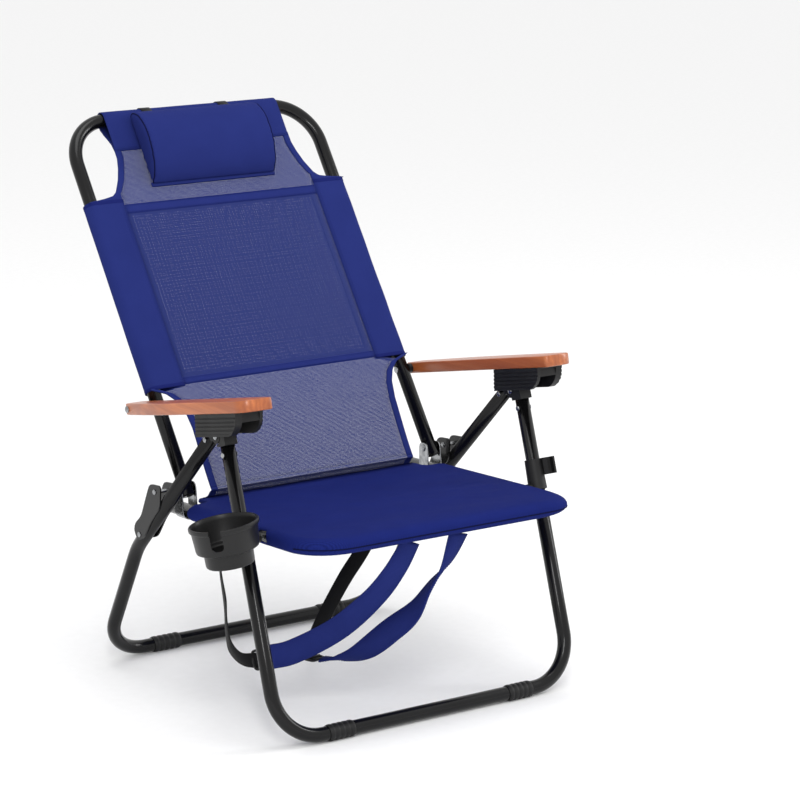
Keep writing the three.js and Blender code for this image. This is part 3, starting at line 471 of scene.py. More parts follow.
# ---------- materials ----------
class Shader:
    """A node material built by short calls; each call returns an output socket."""

    def __init__(self, name, **constants):
        self.material = bpy.data.materials.new(name)
        self.material.use_nodes = True
        self.tree = self.material.node_tree
        self.bsdf = self.tree.nodes["Principled BSDF"]
        for socket, value in constants.items():
            self.bsdf.inputs[socket.replace("_", " ")].default_value = value

    def node(self, kind, inputs=(), **settings):
        made = self.tree.nodes.new("ShaderNode" + kind)
        for key, value in settings.items():
            setattr(made, key, value)
        for key, value in dict(inputs).items():
            if isinstance(value, bpy.types.NodeSocket):
                self.tree.links.new(value, made.inputs[key])
            else:
                made.inputs[key].default_value = value
        return made

    def place(self):
        """Each point's place in the row frame at rest, in metres."""
        return self.node("TexCoord").outputs["Object"]

    def turned(self, angle, scale):
        """Place, turned about X and stretched."""
        made = self.node("Mapping", {"Vector": self.place(), "Rotation": (angle, 0, 0), "Scale": scale})
        return made.outputs["Vector"]

    def noise(self, vector, scale, detail=3.0, rough=0.5, distortion=0.0):
        made = self.node("TexNoise", {"Vector": vector, "Scale": scale, "Detail": detail,
                                      "Roughness": rough, "Distortion": distortion})
        return made.outputs["Fac"]

    def math(self, operation, a, b=0.0):
        return self.node("Math", {0: a, 1: b}, operation=operation).outputs[0]

    def ramp(self, value, stops):
        made = self.node("ValToRGB", {"Fac": value})
        for element, (where, colour) in zip(made.color_ramp.elements, (stops[0], stops[-1])):
            element.position, element.color = where, (*colour, 1)
        for where, colour in stops[1:-1]:
            made.color_ramp.elements.new(where).color = (*colour, 1)
        return made.outputs["Color"]

    def spread(self, value, low, high):
        made = self.node("MapRange", {"Value": value, "To Min": low, "To Max": high})
        return made.outputs["Result"]

    def mix(self, share, a, b, blend="MIX"):
        made = self.node("Mix", data_type="RGBA", blend_type=blend)
        for index, value in ((0, share), (6, a), (7, b)):
            if isinstance(value, bpy.types.NodeSocket):
                self.tree.links.new(value, made.inputs[index])
            elif index == 0:
                made.inputs[index].default_value = value
            else:
                made.inputs[index].default_value = (*value, 1)
        return made.outputs[2]

    def set(self, socket, value):
        self.tree.links.new(value, self.bsdf.inputs[socket])

    def bump(self, height, strength, distance):
        made = self.node("Bump", {"Height": height, "Strength": strength, "Distance": distance})
        self.set("Normal", made.outputs["Normal"])


def powder_coat():
    s = Shader("powder_coat", Specular_IOR_Level=0.24, Coat_Weight=0.15,
               Coat_Roughness=0.06, Coat_IOR=1.35)
    place = s.place()
    tones = [(0.3, (0.0018, 0.0018, 0.002)), (0.7, (0.0045, 0.0045, 0.005))]
    s.set("Base Color", s.ramp(s.noise(place, 9, 4), tones))
    s.set("Roughness", s.spread(s.noise(place, 30, 5), 0.17, 0.26))
    s.bump(s.noise(place, 900, 2), 0.05, 0.0004)
    return s.material


def moulded_plastic(name="moulded_plastic", rough=(0.42, 0.58)):
    s = Shader(name, Specular_IOR_Level=0.28)
    place = s.place()
    tones = [(0.3, (0.006, 0.006, 0.0063)), (0.7, (0.011, 0.011, 0.0115))]
    s.set("Base Color", s.ramp(s.noise(place, 14, 4), tones))
    s.set("Roughness", s.spread(s.noise(place, 60, 4), *rough))
    s.bump(s.noise(place, 1600, 3, 0.6), 0.12, 0.0003)
    return s.material


def zinc_plate():
    s = Shader("zinc_plate", Metallic=1.0)
    place = s.place()
    tones = [(0.25, (0.20, 0.205, 0.215)), (0.75, (0.42, 0.43, 0.44))]
    s.set("Base Color", s.ramp(s.noise(place, 120, 4), tones))
    s.set("Roughness", s.spread(s.noise(place, 240, 4), 0.16, 0.34))
    s.bump(s.noise(s.turned(0, (300, 2500, 300)), 1, 2), 0.1, 0.0002)
    return s.material


def varnished_wood():
    s = Shader("varnished_wood", Coat_Weight=0.35, Coat_Roughness=0.22, Specular_IOR_Level=0.45)
    grain = s.turned(ARM_TILT, (42, 2.6, 42))
    broad = s.noise(grain, 1.0, 5, 0.55, 1.2)
    fine = s.noise(s.turned(ARM_TILT, (620, 14, 620)), 1.0, 3, 0.6)
    rings = s.node("TexWave", {"Vector": grain, "Scale": 0.9, "Distortion": 7.0, "Detail": 3.0,
                               "Detail Scale": 1.4}, bands_direction="X").outputs["Fac"]
    tones = [(0.28, (0.30, 0.075, 0.018)), (0.5, (0.45, 0.122, 0.030)), (0.74, (0.60, 0.185, 0.052))]
    tone = s.ramp(broad, tones)
    ringed = s.mix(s.spread(rings, 0.0, 0.5), tone, (0.27, 0.060, 0.015))
    s.set("Base Color", s.mix(s.spread(fine, 0.0, 0.45), ringed, (0.20, 0.044, 0.012)))
    s.set("Roughness", s.spread(fine, 0.30, 0.46))
    s.bump(fine, 0.08, 0.0003)
    return s.material


def woven(s, period):
    """A plain weave's height, 0 to 1, from the cloth's own coordinates."""
    uv = s.node("UVMap", uv_map="cloth").outputs["UV"]
    split = s.node("SeparateXYZ", {"Vector": uv})
    turn = math.tau / period
    across = s.math("SINE", s.math("MULTIPLY", split.outputs["X"], turn))
    along = s.math("SINE", s.math("MULTIPLY", split.outputs["Y"], turn))
    return s.math("MULTIPLY_ADD", across, along), across, along


def cloth(name, dark, light, period=0.0024, sheen=0.0, rough=0.9, depth=0.0004, strength=0.55):
    """Woven cloth on a piece with cloth coordinates."""
    s = Shader(name, Roughness=rough, Sheen_Weight=sheen, Sheen_Roughness=0.5, Specular_IOR_Level=0.06)
    height, _, _ = woven(s, period)
    threads = s.spread(height, 0.15, 0.85)
    patches = s.spread(s.noise(s.place(), 22, 5), 0.0, 0.5)
    s.set("Base Color", s.mix(patches, s.ramp(threads, [(0, dark), (1, light)]), dark))
    s.bump(threads, strength, depth)
    return s.material


def open_mesh(name, dark, light, period, hole, sheen=0.1):
    """See-through mesh: threads both ways with a hole in each cell."""
    s = Shader(name, Roughness=0.75, Sheen_Weight=sheen, Specular_IOR_Level=0.2)
    height, across, along = woven(s, period)
    threads = s.spread(height, 0.2, 0.8)
    s.set("Base Color", s.ramp(threads, [(0, dark), (1, light)]))
    gap_x = s.math("GREATER_THAN", across, 1 - hole)
    gap_y = s.math("GREATER_THAN", along, 1 - hole)
    s.set("Alpha", s.math("SUBTRACT", 1.0, s.math("MULTIPLY", gap_x, gap_y)))
    s.bump(threads, 0.35, 0.0003)
    return s.material


BLUE_DARK = (0.009, 0.015, 0.092)
BLUE_LIGHT = (0.024, 0.036, 0.200)
BLACK_DARK = (0.004, 0.004, 0.0045)
BLACK_LIGHT = (0.018, 0.018, 0.019)

COAT = powder_coat()
PLASTIC = moulded_plastic()
SATIN = moulded_plastic("satin_plastic", (0.30, 0.44))
ZINC = zinc_plate()
WOOD = varnished_wood()
BLUE = cloth("blue_weave", BLUE_DARK, BLUE_LIGHT)
BLUE_EDGE = cloth("blue_binding", (0.006, 0.010, 0.08), (0.013, 0.020, 0.15), period=0.0016)
# The seat's weave is a darker copy of the blue cloth, to offset the top lamp lighting the seat's upward face: painted
# shade.
SEAT_BLUE_PAINTED_SHADE = cloth("blue_seat_weave_painted_shade", (0.0045, 0.0085, 0.075), (0.013, 0.024, 0.185), period=0.0030,
                  strength=0.9)
SEAM = cloth("dark_seam", (0.002, 0.003, 0.02), (0.006, 0.008, 0.05), period=0.0012, sheen=0.0)
BLUE_MESH = open_mesh("blue_open_mesh", (0.008, 0.015, 0.10), (0.016, 0.031, 0.18), 0.0021, 0.66)
BLACK_MESH = open_mesh("black_open_mesh", BLACK_DARK, BLACK_LIGHT, 0.0034, 0.8)
BLACK = cloth("black_webbing", BLACK_DARK, BLACK_LIGHT, period=0.0022, sheen=0.12)
THREAD = cloth("blue_thread", (0.008, 0.013, 0.10), (0.014, 0.022, 0.16), period=0.001)


# ---------- CAD nodes that stay ----------
STAYING = (
    (("hub_", "rear_leg_cap", "seat_spacer", "rail_end_plug", "armrest_spacer", "cup_clamp", "leg_clip",
      "rack_housing"), PLASTIC),
    (("link_plate",), COAT),
    (("hub_screw", "hub_pivot_rivet", "rack_pin", "rear_leg_rivet", "link_rivet", "seat_pivot_bolt",
      "hinge_bracket", "hinge_bolt", "armrest_bolt"), ZINC),
    (("armrest_left", "armrest_right"), WOOD),
)
SOFT_EDGE = 0.0006
HUB_EDGE = 0.0026


def dress_cad_nodes():
    """Gives each staying CAD node its material, smooth faces and slightly broken edges."""
    for prefixes, material in STAYING:
        for name, obj in frame["nodes"].items():
            if name.startswith(prefixes):
                obj.data.materials.clear()
                obj.data.materials.append(material)
    for name, obj in frame["nodes"].items():
        soften(obj, HUB_EDGE if name in ("hub_left", "hub_right") else SOFT_EDGE)


def soften(obj, width):
    """Smooth faces, with edges sharper than 30 degrees rounded off."""
    mesh = obj.data
    if "custom_normal" in mesh.attributes:
        mesh.attributes.remove(mesh.attributes["custom_normal"])
    mesh.polygons.foreach_set("use_smooth", [True] * len(mesh.polygons))
    weld = obj.modifiers.new("weld", "WELD")
    weld.merge_threshold = 1e-5
    bevel = obj.modifiers.new("edges", "BEVEL")
    bevel.width = width
    bevel.segments = 2
    bevel.limit_method = "ANGLE"
    bevel.angle_limit = math.radians(30)
    bevel.harden_normals = True


def stand_for(obj, body, slot, *nodes):
    """obj rides on a body, takes a slot's finish and stands for CAD nodes."""
    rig.ride(obj, body)
    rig.slot(obj, slot)
    if nodes:
        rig.replaces(obj, *nodes)
    return obj


# ---------- frame tubes, feet and cup ----------
def add_tubes():
    front = [FRONT_LEG.at(-LEG_X, FRONT_LENGTH), FRONT_LEG.at(-LEG_X, 0), FRONT_LEG.at(LEG_X, 0),
             FRONT_LEG.at(LEG_X, FRONT_LENGTH)]
    side = [REAR_TUBE_TOP, REAR_KNEE, REAR_BAR]
    rear = [at(-LEG_X, *p) for p in side] + [at(LEG_X, *p) for p in reversed(side)]
    seat = [SEAT.at(-RAIL_X, SEAT_LENGTH), SEAT.at(-RAIL_X, 0), SEAT.at(RAIL_X, 0),
            SEAT.at(RAIL_X, SEAT_LENGTH)]
    back = [BACK.at(-RAIL_X, BACK_FOOT_S), BACK.at(-RAIL_X, BACK_LENGTH), BACK.at(RAIL_X, BACK_LENGTH),
            BACK.at(RAIL_X, BACK_FOOT_S)]
    for name, corners, radii, body in (
        ("front_leg_tube", front, [LEG_BEND] * 2, "front_legs"),
        ("rear_leg_tube", rear, [KNEE_BEND, LEG_BEND, LEG_BEND, KNEE_BEND], "rear_legs"),
        ("seat_frame_tube", seat, [SEAT_BEND] * 2, "seat"),
        ("back_frame_tube", back, [BACK_BEND] * 2, "back"),
    ):
        path = bent_path(corners, [r / 1000 for r in radii])
        stand_for(pipe(name + "_coated", path, TUBE_R / 1000, COAT), body, "black_steel", name)


def foot_profile(x0, x1):
    """A ribbed sleeve's closed outline, (radius, x)."""
    pitch = (x1 - x0) / FOOT_RIDGES
    profile = [(FOOT_BORE, x0), (FOOT_VALLEY, x0)]
    for i in range(FOOT_RIDGES):
        for share, radius in ((0.15, FOOT_VALLEY), (0.25, 12.75), (0.4, FOOT_CREST), (0.6, FOOT_CREST),
                              (0.75, 12.75), (0.85, FOOT_VALLEY)):
            profile.append((radius, x0 + pitch * (i + share)))
    return profile + [(FOOT_VALLEY, x1), (FOOT_BORE, x1)]


def add_feet():
    for name, place, reach, body in (("front_foot", FRONT_BAR, FRONT_FOOT_X, "front_legs"),
                                     ("rear_foot", REAR_BAR, REAR_FOOT_X, "rear_legs")):
        for side, sign in (("left", 1), ("right", -1)):
            foot = lathed(f"{name}_{side}_ribbed", foot_profile(*reach), at(0, *place),
                          Vector((sign, 0, 0)), PLASTIC, 48)
            stand_for(foot, body, "black_plastic", f"{name}_{side}")


# the cup's wall, (radius, height from the rim): up its outside, over the lip and down its inside
CUP_PROFILE = (
    (0.01, -65), (32, -65), (34.5, -64.5), (36, -63), (36.5, -61), (36.9, -45.5), (37.6, -43.4),
    (40.5, -42.4), (44.0, -41.8), (46.4, -40.4), (47.4, -38), (49.8, -9.5), (50.3, -8.0), (51.9, -7.4),
    (52.8, -6.0), (53, -4.4), (52.8, -1.6), (52.0, -0.5), (50.6, -0.1), (49.2, -0.5), (48.3, -2.2),
    (47.4, -7), (44.9, -36), (43.6, -38.6), (40.6, -39.6), (35.6, -40.4), (34.2, -42.6), (33.6, -59),
    (32.2, -61.4), (29.5, -62), (0.01, -62),
)
SLOT_HALF = 9.5
SLOT_FOOT = -25.5
SLOT_CORNER = 6.5


def add_cup():
    """The stepped cup with its handle slot cut through the upper wall."""
    rim = at(*CUP_RIM)
    cup = lathed("cup_holder_moulded", CUP_PROFILE, rim, CUP_AXIS, SATIN, 128)
    out = Vector((math.cos(CUP_SLOT_ANGLE), math.sin(CUP_SLOT_ANGLE), 0))
    out = (out - CUP_AXIS * out.dot(CUP_AXIS)).normalized()
    side = CUP_AXIS.cross(out)
    outline = [(-SLOT_HALF, 12), (-SLOT_HALF, SLOT_FOOT)]
    for a in (0.4, 0.8, 1.2, math.pi / 2):
        outline.append((-SLOT_HALF + SLOT_CORNER * (1 - math.cos(a)), SLOT_FOOT - SLOT_CORNER * math.sin(a)))
    outline += [(-x, z) for x, z in reversed(outline)]
    rings = [[rim + (out * depth + side * x + CUP_AXIS * z) / 1000 for x, z in outline] for depth in (38, 60)]
    cutter = lofted("slot_cutter", rings, SATIN)
    cut = cup.modifiers.new("slot", "BOOLEAN")
    cut.object = cutter
    cut.solver = "EXACT"
    apply_modifiers(cup)
    bpy.data.objects.remove(cutter)
    soften(cup, 0.0007)
    stand_for(cup, "front_legs", "black_plastic", "cup_holder")


def apply_modifiers(obj):
    """Replaces the object's mesh by what its modifiers make of it."""
    evaluated = obj.evaluated_get(bpy.context.evaluated_depsgraph_get())
    mesh = bpy.data.meshes.new_from_object(evaluated)
    obj.modifiers.clear()
    obj.data = mesh


# ---------- back cloth ----------
def lookup(table, value):
    """Linear interpolation in a table of (value, result)."""
    return float(np.interp(value, [row[0] for row in table], [row[1] for row in table]))


def ease(t):
    t = min(max(t, 0.0), 1.0)
    return t * t * (3 - 2 * t)


def cloth_depth(x, s):
    """How far in front of the back tubes' plane the cloth lies."""
    low = ease((130 - s) / 140)
    sag = 1.2 * math.sin(math.pi * min(max((s - 160) / 330, 0), 1)) * (1 - (x / SEAM_X) ** 2)
    return FACE_N - 8.5 * low - sag


def back_strip(name, inner, outer, s_range, material, thickness, lift=0.0, columns=6, rows=60):
    """Cloth between two edges, x = inner(s) and outer(s), over a range of s."""
    grid, uvs = [], []
    for s in np.linspace(*s_range, rows):
        xs = np.linspace(inner(s), outer(s), columns)
        grid.append([BACK.at(x, s, cloth_depth(x, s) + lift) for x in xs])
        uvs.append([(x / 1000, s / 1000) for x in xs])
    return sheet(name, grid, uvs, material, thickness)


def mesh_half(s):
    """Half the see-through panel's width at s."""
    if s < SIDE_SLEEVE[0]:
        return lookup(LOW_EDGE, s) - BINDING + 2
    if s < 470:
        return SEAM_X + 2
    return lookup(HIGH_EDGE, s) - BINDING + 2 if s > 504 else SEAM_X + 2 - (s - 470) * 0.06


def add_back_mesh():
    panel = back_strip("back_mesh", lambda s: -mesh_half(s), mesh_half, (CLOTH_FOOT_S, HEM_S + 4), BLUE_MESH,
                       0.0004, columns=28, rows=90)
    stand_for(panel, "back", "blue_mesh", "back_sling")
    return panel


def add_edges(pieces):
    for side, sign in (("left", 1), ("right", -1)):
        low = back_strip(f"back_low_edge_{side}",
                         lambda s: sign * (lookup(LOW_EDGE, s) - BINDING),
                         lambda s: sign * lookup(LOW_EDGE, s),
                         (CLOTH_FOOT_S, SIDE_SLEEVE[0] + 1), BLUE, 0.0018, lift=0.1)
        high = back_strip(f"back_high_edge_{side}",
                          lambda s: sign * min(SEAM_X, lookup(HIGH_EDGE, s) - BINDING),
                          lambda s: sign * lookup(HIGH_EDGE, s),
                          (SIDE_SLEEVE[1] - 1, HEM_S + 6), BLUE, 0.0021, lift=0.2)
        pieces += [stand_for(low, "back", "blue_fabric"), stand_for(high, "back", "blue_fabric")]
    for name, (low, high) in zip(("back_band_low", "back_band_high"), BANDS):
        band = back_strip(name, lambda s: -SEAM_X - 1, lambda s: SEAM_X + 1, (low, high), BLUE, 0.0016,
                          lift=0.1, columns=30, rows=4)
        pieces.append(stand_for(band, "back", "blue_fabric"))


def sleeve_section(sign):
    """Points (x, n) of a side sleeve's fabric, from its inner front seam round the tube to its back seam."""
    front = [(SEAM_X + t, FACE_N + 0.5 + 0.5 * math.sin(math.pi * t / 51)) for t in (0, 8, 18, 30, 41)]
    around = [(RAIL_X + SLEEVE_R * math.sin(a), SLEEVE_R * math.cos(a)) for a in np.linspace(0, math.pi, 15)]
    rise = FACE_N + SLEEVE_R - 2.4
    behind = [(RAIL_X - t, -SLEEVE_R + rise * ease(t / 51)) for t in (10, 20, 30, 41, 51)]
    return [(sign * x, n) for x, n in front + around + behind]


def add_side_sleeves(pieces):
    for side, sign in (("left", 1), ("right", -1)):
        section = sleeve_section(sign)
        grid, uvs = [], []
        for s in np.linspace(*SIDE_SLEEVE, 70):
            row, line, run = [], [], 0.0
            for i, (x, n) in enumerate(section):
                pull = 0.7 * noise.noise(Vector((x * 0.02, s * 0.018, n * 0.03)))
                grip = min(1.0, (s - SIDE_SLEEVE[0]) / 20 + 0.2, (SIDE_SLEEVE[1] - s) / 20 + 0.2)
                if i:
                    run += math.dist(section[i], section[i - 1])
                row.append(BACK.at(x + sign * pull * grip, s, n + pull * grip * 0.8))
                line.append((run / 1000, s / 1000))
            grid.append(row)
            uvs.append(line)
        sleeve = sheet(f"back_sleeve_{side}", grid, uvs, BLUE, 0.0013)
        pieces.append(stand_for(sleeve, "back", "blue_fabric"))
        for end, s in (("low", SIDE_SLEEVE[0] + 2.5), ("high", SIDE_SLEEVE[1] - 3)):
            hem = [BACK.at(x, s, n + 0.2) for x, n in section]
            ring = ribbon(f"sleeve_hem_{end}_{side}", hem, [BACK.along] * len(hem), 0.007, 0.0019, BLUE_EDGE)
            pieces.append(stand_for(ring, "back", "blue_fabric"))


def add_top_sleeve(pieces):
    """The hem round the top bar, from its front edge over the bar to its back edge."""
    turns = np.linspace(0, math.pi, 17)
    around = [(BACK_LENGTH + SLEEVE_R * math.sin(a), SLEEVE_R * math.cos(a)) for a in turns]
    front = [(s, cloth_depth(0, s) + 0.9) for s in np.linspace(HEM_S, BACK_LENGTH - 6, 8)]
    behind = [(BACK_LENGTH - t, -SLEEVE_R + 24.0 * ease(t / 62)) for t in (12, 24, 36, 48, 62)]
    section = front + around + behind
    grid, uvs = [], []
    for x in np.linspace(-TOP_SLEEVE_X, TOP_SLEEVE_X, 60):
        row, line, run = [], [], 0.0
        for i, (s, n) in enumerate(section):
            pull = 0.6 * noise.noise(Vector((x * 0.03, s * 0.02, n * 0.03 + 7)))
            if i:
                run += math.dist(section[i], section[i - 1])
            row.append(BACK.at(x, s, n + pull * min(1, i / 4)))
            line.append((x / 1000, run / 1000))
        grid.append(row)
        uvs.append(line)
    sleeve = sheet("back_top_sleeve", grid, uvs, BLUE, 0.0013)
    pieces.append(stand_for(sleeve, "back", "blue_fabric"))


def add_back_stitches(pieces):
    """Seams of the back: two rows on each sleeve's inner edge and one on each side of every band."""
    lines = []
    for x in (SEAM_X + 2, SEAM_X + 6):
        for sign in (1, -1):
            lines.append([(sign * x, s, FACE_N + 1.4) for s in np.linspace(*SIDE_SLEEVE, 20)])
    for low, high in BANDS:
        for s in (low + 1.5, high - 1.5):
            lines.append([(x, s, cloth_depth(x, s) + 1.6) for x in np.linspace(-SEAM_X, SEAM_X, 20)])
    lines.append([(x, HEM_S + 3, cloth_depth(x, HEM_S) + 1.7) for x in np.linspace(-160, 160, 20)])
    for sign in (1, -1):
        lines.append([(sign * (lookup(HIGH_EDGE, s) - BINDING + 2), s, cloth_depth(0, s) + 1.5)
                      for s in np.linspace(504, HEM_S, 16)])
        lines.append([(sign * (lookup(LOW_EDGE, s) - BINDING + 2), s, cloth_depth(SEAM_X, s) + 1.5)
                      for s in np.linspace(CLOTH_FOOT_S + 2, SIDE_SLEEVE[0] - 14, 16)])
    for i, line in enumerate(lines):
        path = [BACK.at(*p) for p in line]
        row = stitches(f"back_stitches_{i}", path, [BACK.out] * len(path), THREAD)
        pieces.append(stand_for(row, "back", "blue_fabric"))


def add_pocket():
    """A black mesh pocket behind the middle of the back, gathered at its top and bottom."""
    rows, uvs = [], []
    for s in np.linspace(177, 470, 60):
        t = (s - 177) / 293
        row, line = [], []
        for x in np.linspace(-178, 178, 120):
            gather = 1.6 * math.sin(x * 0.21 + 1.3 * noise.noise(Vector((x * 0.02, s * 0.01, 3))))
            gather *= max(0, 1 - t / 0.2) + max(0, (t - 0.75) / 0.25)
            belly = 7 * math.sin(math.pi * t) * (1 - (x / 180) ** 4)
            row.append(BACK.at(x, s, 8.2 - belly + gather * (1 - (x / 178) ** 6)))
            line.append((x / 1000, s / 1000))
        rows.append(row)
        uvs.append(line)
    pocket = sheet("pocket_mesh", rows, uvs, BLACK_MESH, 0.0006)
    stand_for(pocket, "back", "black_webbing", "rear_pocket")
    trims = []
    for name, s in (("pocket_binding_low", 178), ("pocket_binding_high", 468)):
        path = [BACK.at(x, s, 7.6) for x in np.linspace(-179, 179, 30)]
        trim = ribbon(name, path, [BACK.along] * len(path), 0.014, 0.0022, BLACK)
        trims.append(stand_for(trim, "back", "black_webbing"))
    for side, sign in (("left", 1), ("right", -1)):
        path = [BACK.at(sign * 176, s, 7.6) for s in np.linspace(176, 470, 30)]
        trim = ribbon(f"pocket_binding_{side}", path, [Vector((1, 0, 0))] * len(path), 0.010, 0.0020, BLACK)
        trims.append(stand_for(trim, "back", "black_webbing"))
    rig.sheet(pocket, flat=(0.40, 0.32), held="gathered", rests_on=["back_mesh"], with_pieces=trims)


def add_foot_cloth():
    """The back cloth's foot, bent in two steps to the seat's rear edge."""
    start = BACK.at(0, CLOTH_FOOT_S + 0.5, cloth_depth(0, CLOTH_FOOT_S))
    foot = BACK.at(0, CLOTH_FOOT_S - 4, cloth_depth(0, CLOTH_FOOT_S - 4))
    middle = at(0, 242.0, 312.5)
    hem = SEAT.at(0, SEAT_TAIL[1] - 4, 12.4)
    curve = smooth_path([start, foot, middle, at(0, 247.5, 305.5), hem], 41)
    split = min(range(41), key=lambda i: (curve[i] - middle).length)
    parts = (("back_foot_cloth", curve[:split + 1], "back_pins", "back"),
             ("seat_joint_cloth", curve[split:], "seat", "back_pins"))
    half = lookup(LOW_EDGE, CLOTH_FOOT_S)
    for name, line, near, far in parts:
        run = [0.0]
        for a, b in zip(line, line[1:]):
            run.append(run[-1] + (b - a).length)
        for part, reach, material, thickness in (
            ("", (BINDING - 2 - half, half - BINDING + 2), BLUE_MESH, 0.0004),
            ("_edge_right", (-half, BINDING - half), BLUE, 0.0018),
            ("_edge_left", (half - BINDING, half), BLUE, 0.0018),
        ):
            xs = np.linspace(*reach, 40)
            rows = [[point + Vector((x / 1000, 0, 0)) for x in xs] for point in line]
            uvs = [[(x / 1000, -length) for x in xs] for length in run]
            piece = sheet(name + part, rows, uvs, material, thickness)
            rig.slot(piece, "blue_fabric" if part else "blue_mesh")
            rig.blend(piece, near, far, start=line[-1], end=line[0])


# ---------- pillow ----------
PILLOW_SECTION = (
    (507, 14.5), (511, 24), (521, 35), (537, 45), (557, 51.5), (578, 54), (598, 52.5), (615, 47), (627, 39),
    (634, 30), (636, 21), (633, 14.5),
)


def inflate(obj, voxel, pressure, frames, cap, sewn):
    """Swells a closed mesh as stuffed cloth: remesh, cloth pressure, and a cap on how far a point moves.

    Points for which `sewn` is true stay where they are.
    """
    remesh = obj.modifiers.new("even", "REMESH")
    remesh.mode = "VOXEL"
    remesh.voxel_size = voxel
    apply_modifiers(obj)
    rest = np.array([v.co for v in obj.data.vertices])
    cloth_mod = obj.modifiers.new("cloth", "CLOTH")
    settings = cloth_mod.settings
    pinned = obj.vertex_groups.new(name="sewn")
    pinned.add([i for i, point in enumerate(rest) if sewn(point)], 1.0, "REPLACE")
    settings.vertex_group_mass = "sewn"
    settings.use_pressure = True
    settings.uniform_pressure_force = pressure
    settings.effector_weights.gravity = 0
    settings.quality = 5
    cloth_mod.point_cache.frame_start = 1
    cloth_mod.point_cache.frame_end = frames
    scene = bpy.context.scene
    for number in range(1, frames + 1):
        scene.frame_set(number)
    apply_modifiers(obj)
    scene.frame_set(1)
    moved = np.array([v.co for v in obj.data.vertices])
    step = moved - rest
    length = np.linalg.norm(step, axis=1, keepdims=True)
    step *= np.minimum(1.0, cap / np.maximum(length, 1e-9))
    obj.data.vertices.foreach_set("co", (rest + step).ravel())
    obj.data.polygons.foreach_set("use_smooth", [True] * len(obj.data.polygons))
    obj.data.update()


def flatten_behind(obj, side, floor):
    """Presses every point that came out below `floor` mm of a side frame back onto it."""
    origin = side.at(0, 0, floor)
    for vertex in obj.data.vertices:
        depth = (vertex.co - origin).dot(side.out)
        if depth < 0:
            vertex.co -= side.out * depth


def on_pillow_seam(point):
    """True on the pillow's flat back and round its two end seams, where the cloth is sewn."""
    arm = Vector(point) - BACK.at(PILLOW_SHIFT, 572, 0)
    return arm.dot(BACK.out) < 0.019 or abs(abs(arm.x) - PILLOW_X / 1000) < 0.0035


def lay_weave(pillow):
    """Cloth coordinates for the pillow: across it and round its curve, or flat on its end panels."""
    mesh = pillow.data
    layer = mesh.uv_layers.get("cloth") or mesh.uv_layers.new(name="cloth")
    centre = BACK.at(PILLOW_SHIFT, 572, 14)
    for polygon in mesh.polygons:
        end_panel = abs(polygon.normal.x) > 0.75
        for index in polygon.loop_indices:
            arm = mesh.vertices[mesh.loops[index].vertex_index].co - centre
            along, out = arm.dot(BACK.along), arm.dot(BACK.out)
            turn = math.atan2(along, out) * 0.045
            layer.data[index].uv = (along, out) if end_panel else (arm.x, turn)


def add_pillow():
    rings = []
    for x in np.linspace(-PILLOW_X, PILLOW_X, 30):
        rings.append([BACK.at(x + PILLOW_SHIFT, s, n) for s, n in PILLOW_SECTION])
    pillow = lofted("head_pillow_stuffed", rings, BLUE)
    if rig.quick():
        soften(pillow, 0.004)
    else:
        inflate(pillow, PILLOW_VOXEL, 4.0, 20, 0.005, on_pillow_seam)
        flatten_behind(pillow, BACK, 14.0)
        smooth = pillow.modifiers.new("smooth", "SUBSURF")
        smooth.levels = smooth.render_levels = 1
        apply_modifiers(pillow)
    lay_weave(pillow)
    stand_for(pillow, "back", "blue_fabric", "head_pillow")
    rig.padded(pillow, fill=0.85)
    add_pillow_seams(pillow)


def on_surface(obj, points, lift):
    """The points moved to the nearest place of the object's surface, then lifted off it."""
    found, outs = [], []
    for point in points:
        _, place, normal, _ = obj.closest_point_on_mesh(point)
        found.append(place + normal * lift)
        outs.append(normal)
    return found, outs


def add_pillow_seams(pillow):
    for side, sign in (("left", 1), ("right", -1)):
        ring = [BACK.at(sign * (PILLOW_X + 1) + PILLOW_SHIFT, s, n) for s, n in PILLOW_SECTION]
        path = smooth_path(ring, 70)
        line, _ = on_surface(pillow, path, 0.0002)
        cord = pipe(f"pillow_end_seam_{side}", line, 0.0010, SEAM, 8)
        stand_for(cord, "back", "blue_fabric")
        beside = [p + Vector((-sign * 0.004, 0, 0)) for p in path]
        line, outs = on_surface(pillow, beside, 0.0002)
        stand_for(stitches(f"pillow_stitches_{side}", line, outs, THREAD), "back", "blue_fabric")
    foot = PILLOW_SECTION[0][0] + 2
    base = [BACK.at(x + PILLOW_SHIFT, foot, 15.0) for x in np.linspace(-PILLOW_X, PILLOW_X, 30)]
    edge = ribbon("pillow_base_edge", base, [BACK.along] * len(base), 0.008, 0.0026, BLUE)
    stand_for(edge, "back", "blue_fabric")


def add_pillow_straps():
    """Black elastic straps from the pillow's top edge over the bow and down behind the hem."""
    radius = SLEEVE_R + 1.5
    nodes = ("pillow_strap_right", "pillow_strap_left")
    for x, node in zip(PILLOW_STRAP_X, nodes):
        line = [(BACK_LENGTH - 6, radius + 6), (BACK_LENGTH + 2, radius + 1.5)]
        turns = np.linspace(0.3, math.pi, 14)
        line += [(BACK_LENGTH + radius * math.sin(a), radius * math.cos(a)) for a in turns]
        line += [(BACK_LENGTH - t, -radius + 10 * ease(t / 60)) for t in (8, 20, 34, 48)]
        path = [BACK.at(x, s, n) for s, n in line]
        strap = ribbon(node + "_elastic", path, [Vector((1, 0, 0))] * len(path), 0.019, 0.0016, BLACK)
        stand_for(strap, "back", "black_webbing", node)


# ---------- seat ----------
SEAT_HALF = 246.0
SEAT_FRONT_EDGE = -14.0
SEAT_CORNERS = {1: 48.0, -1: 76.0}
SEAT_SLEEVE_END = 338.0
SEAT_TAIL = (206.0, 376.0)
SEAT_CENTRE = Vector((0.0, 175.0))
PIVOT_CUT = (128.0, 17.0, 8.0)


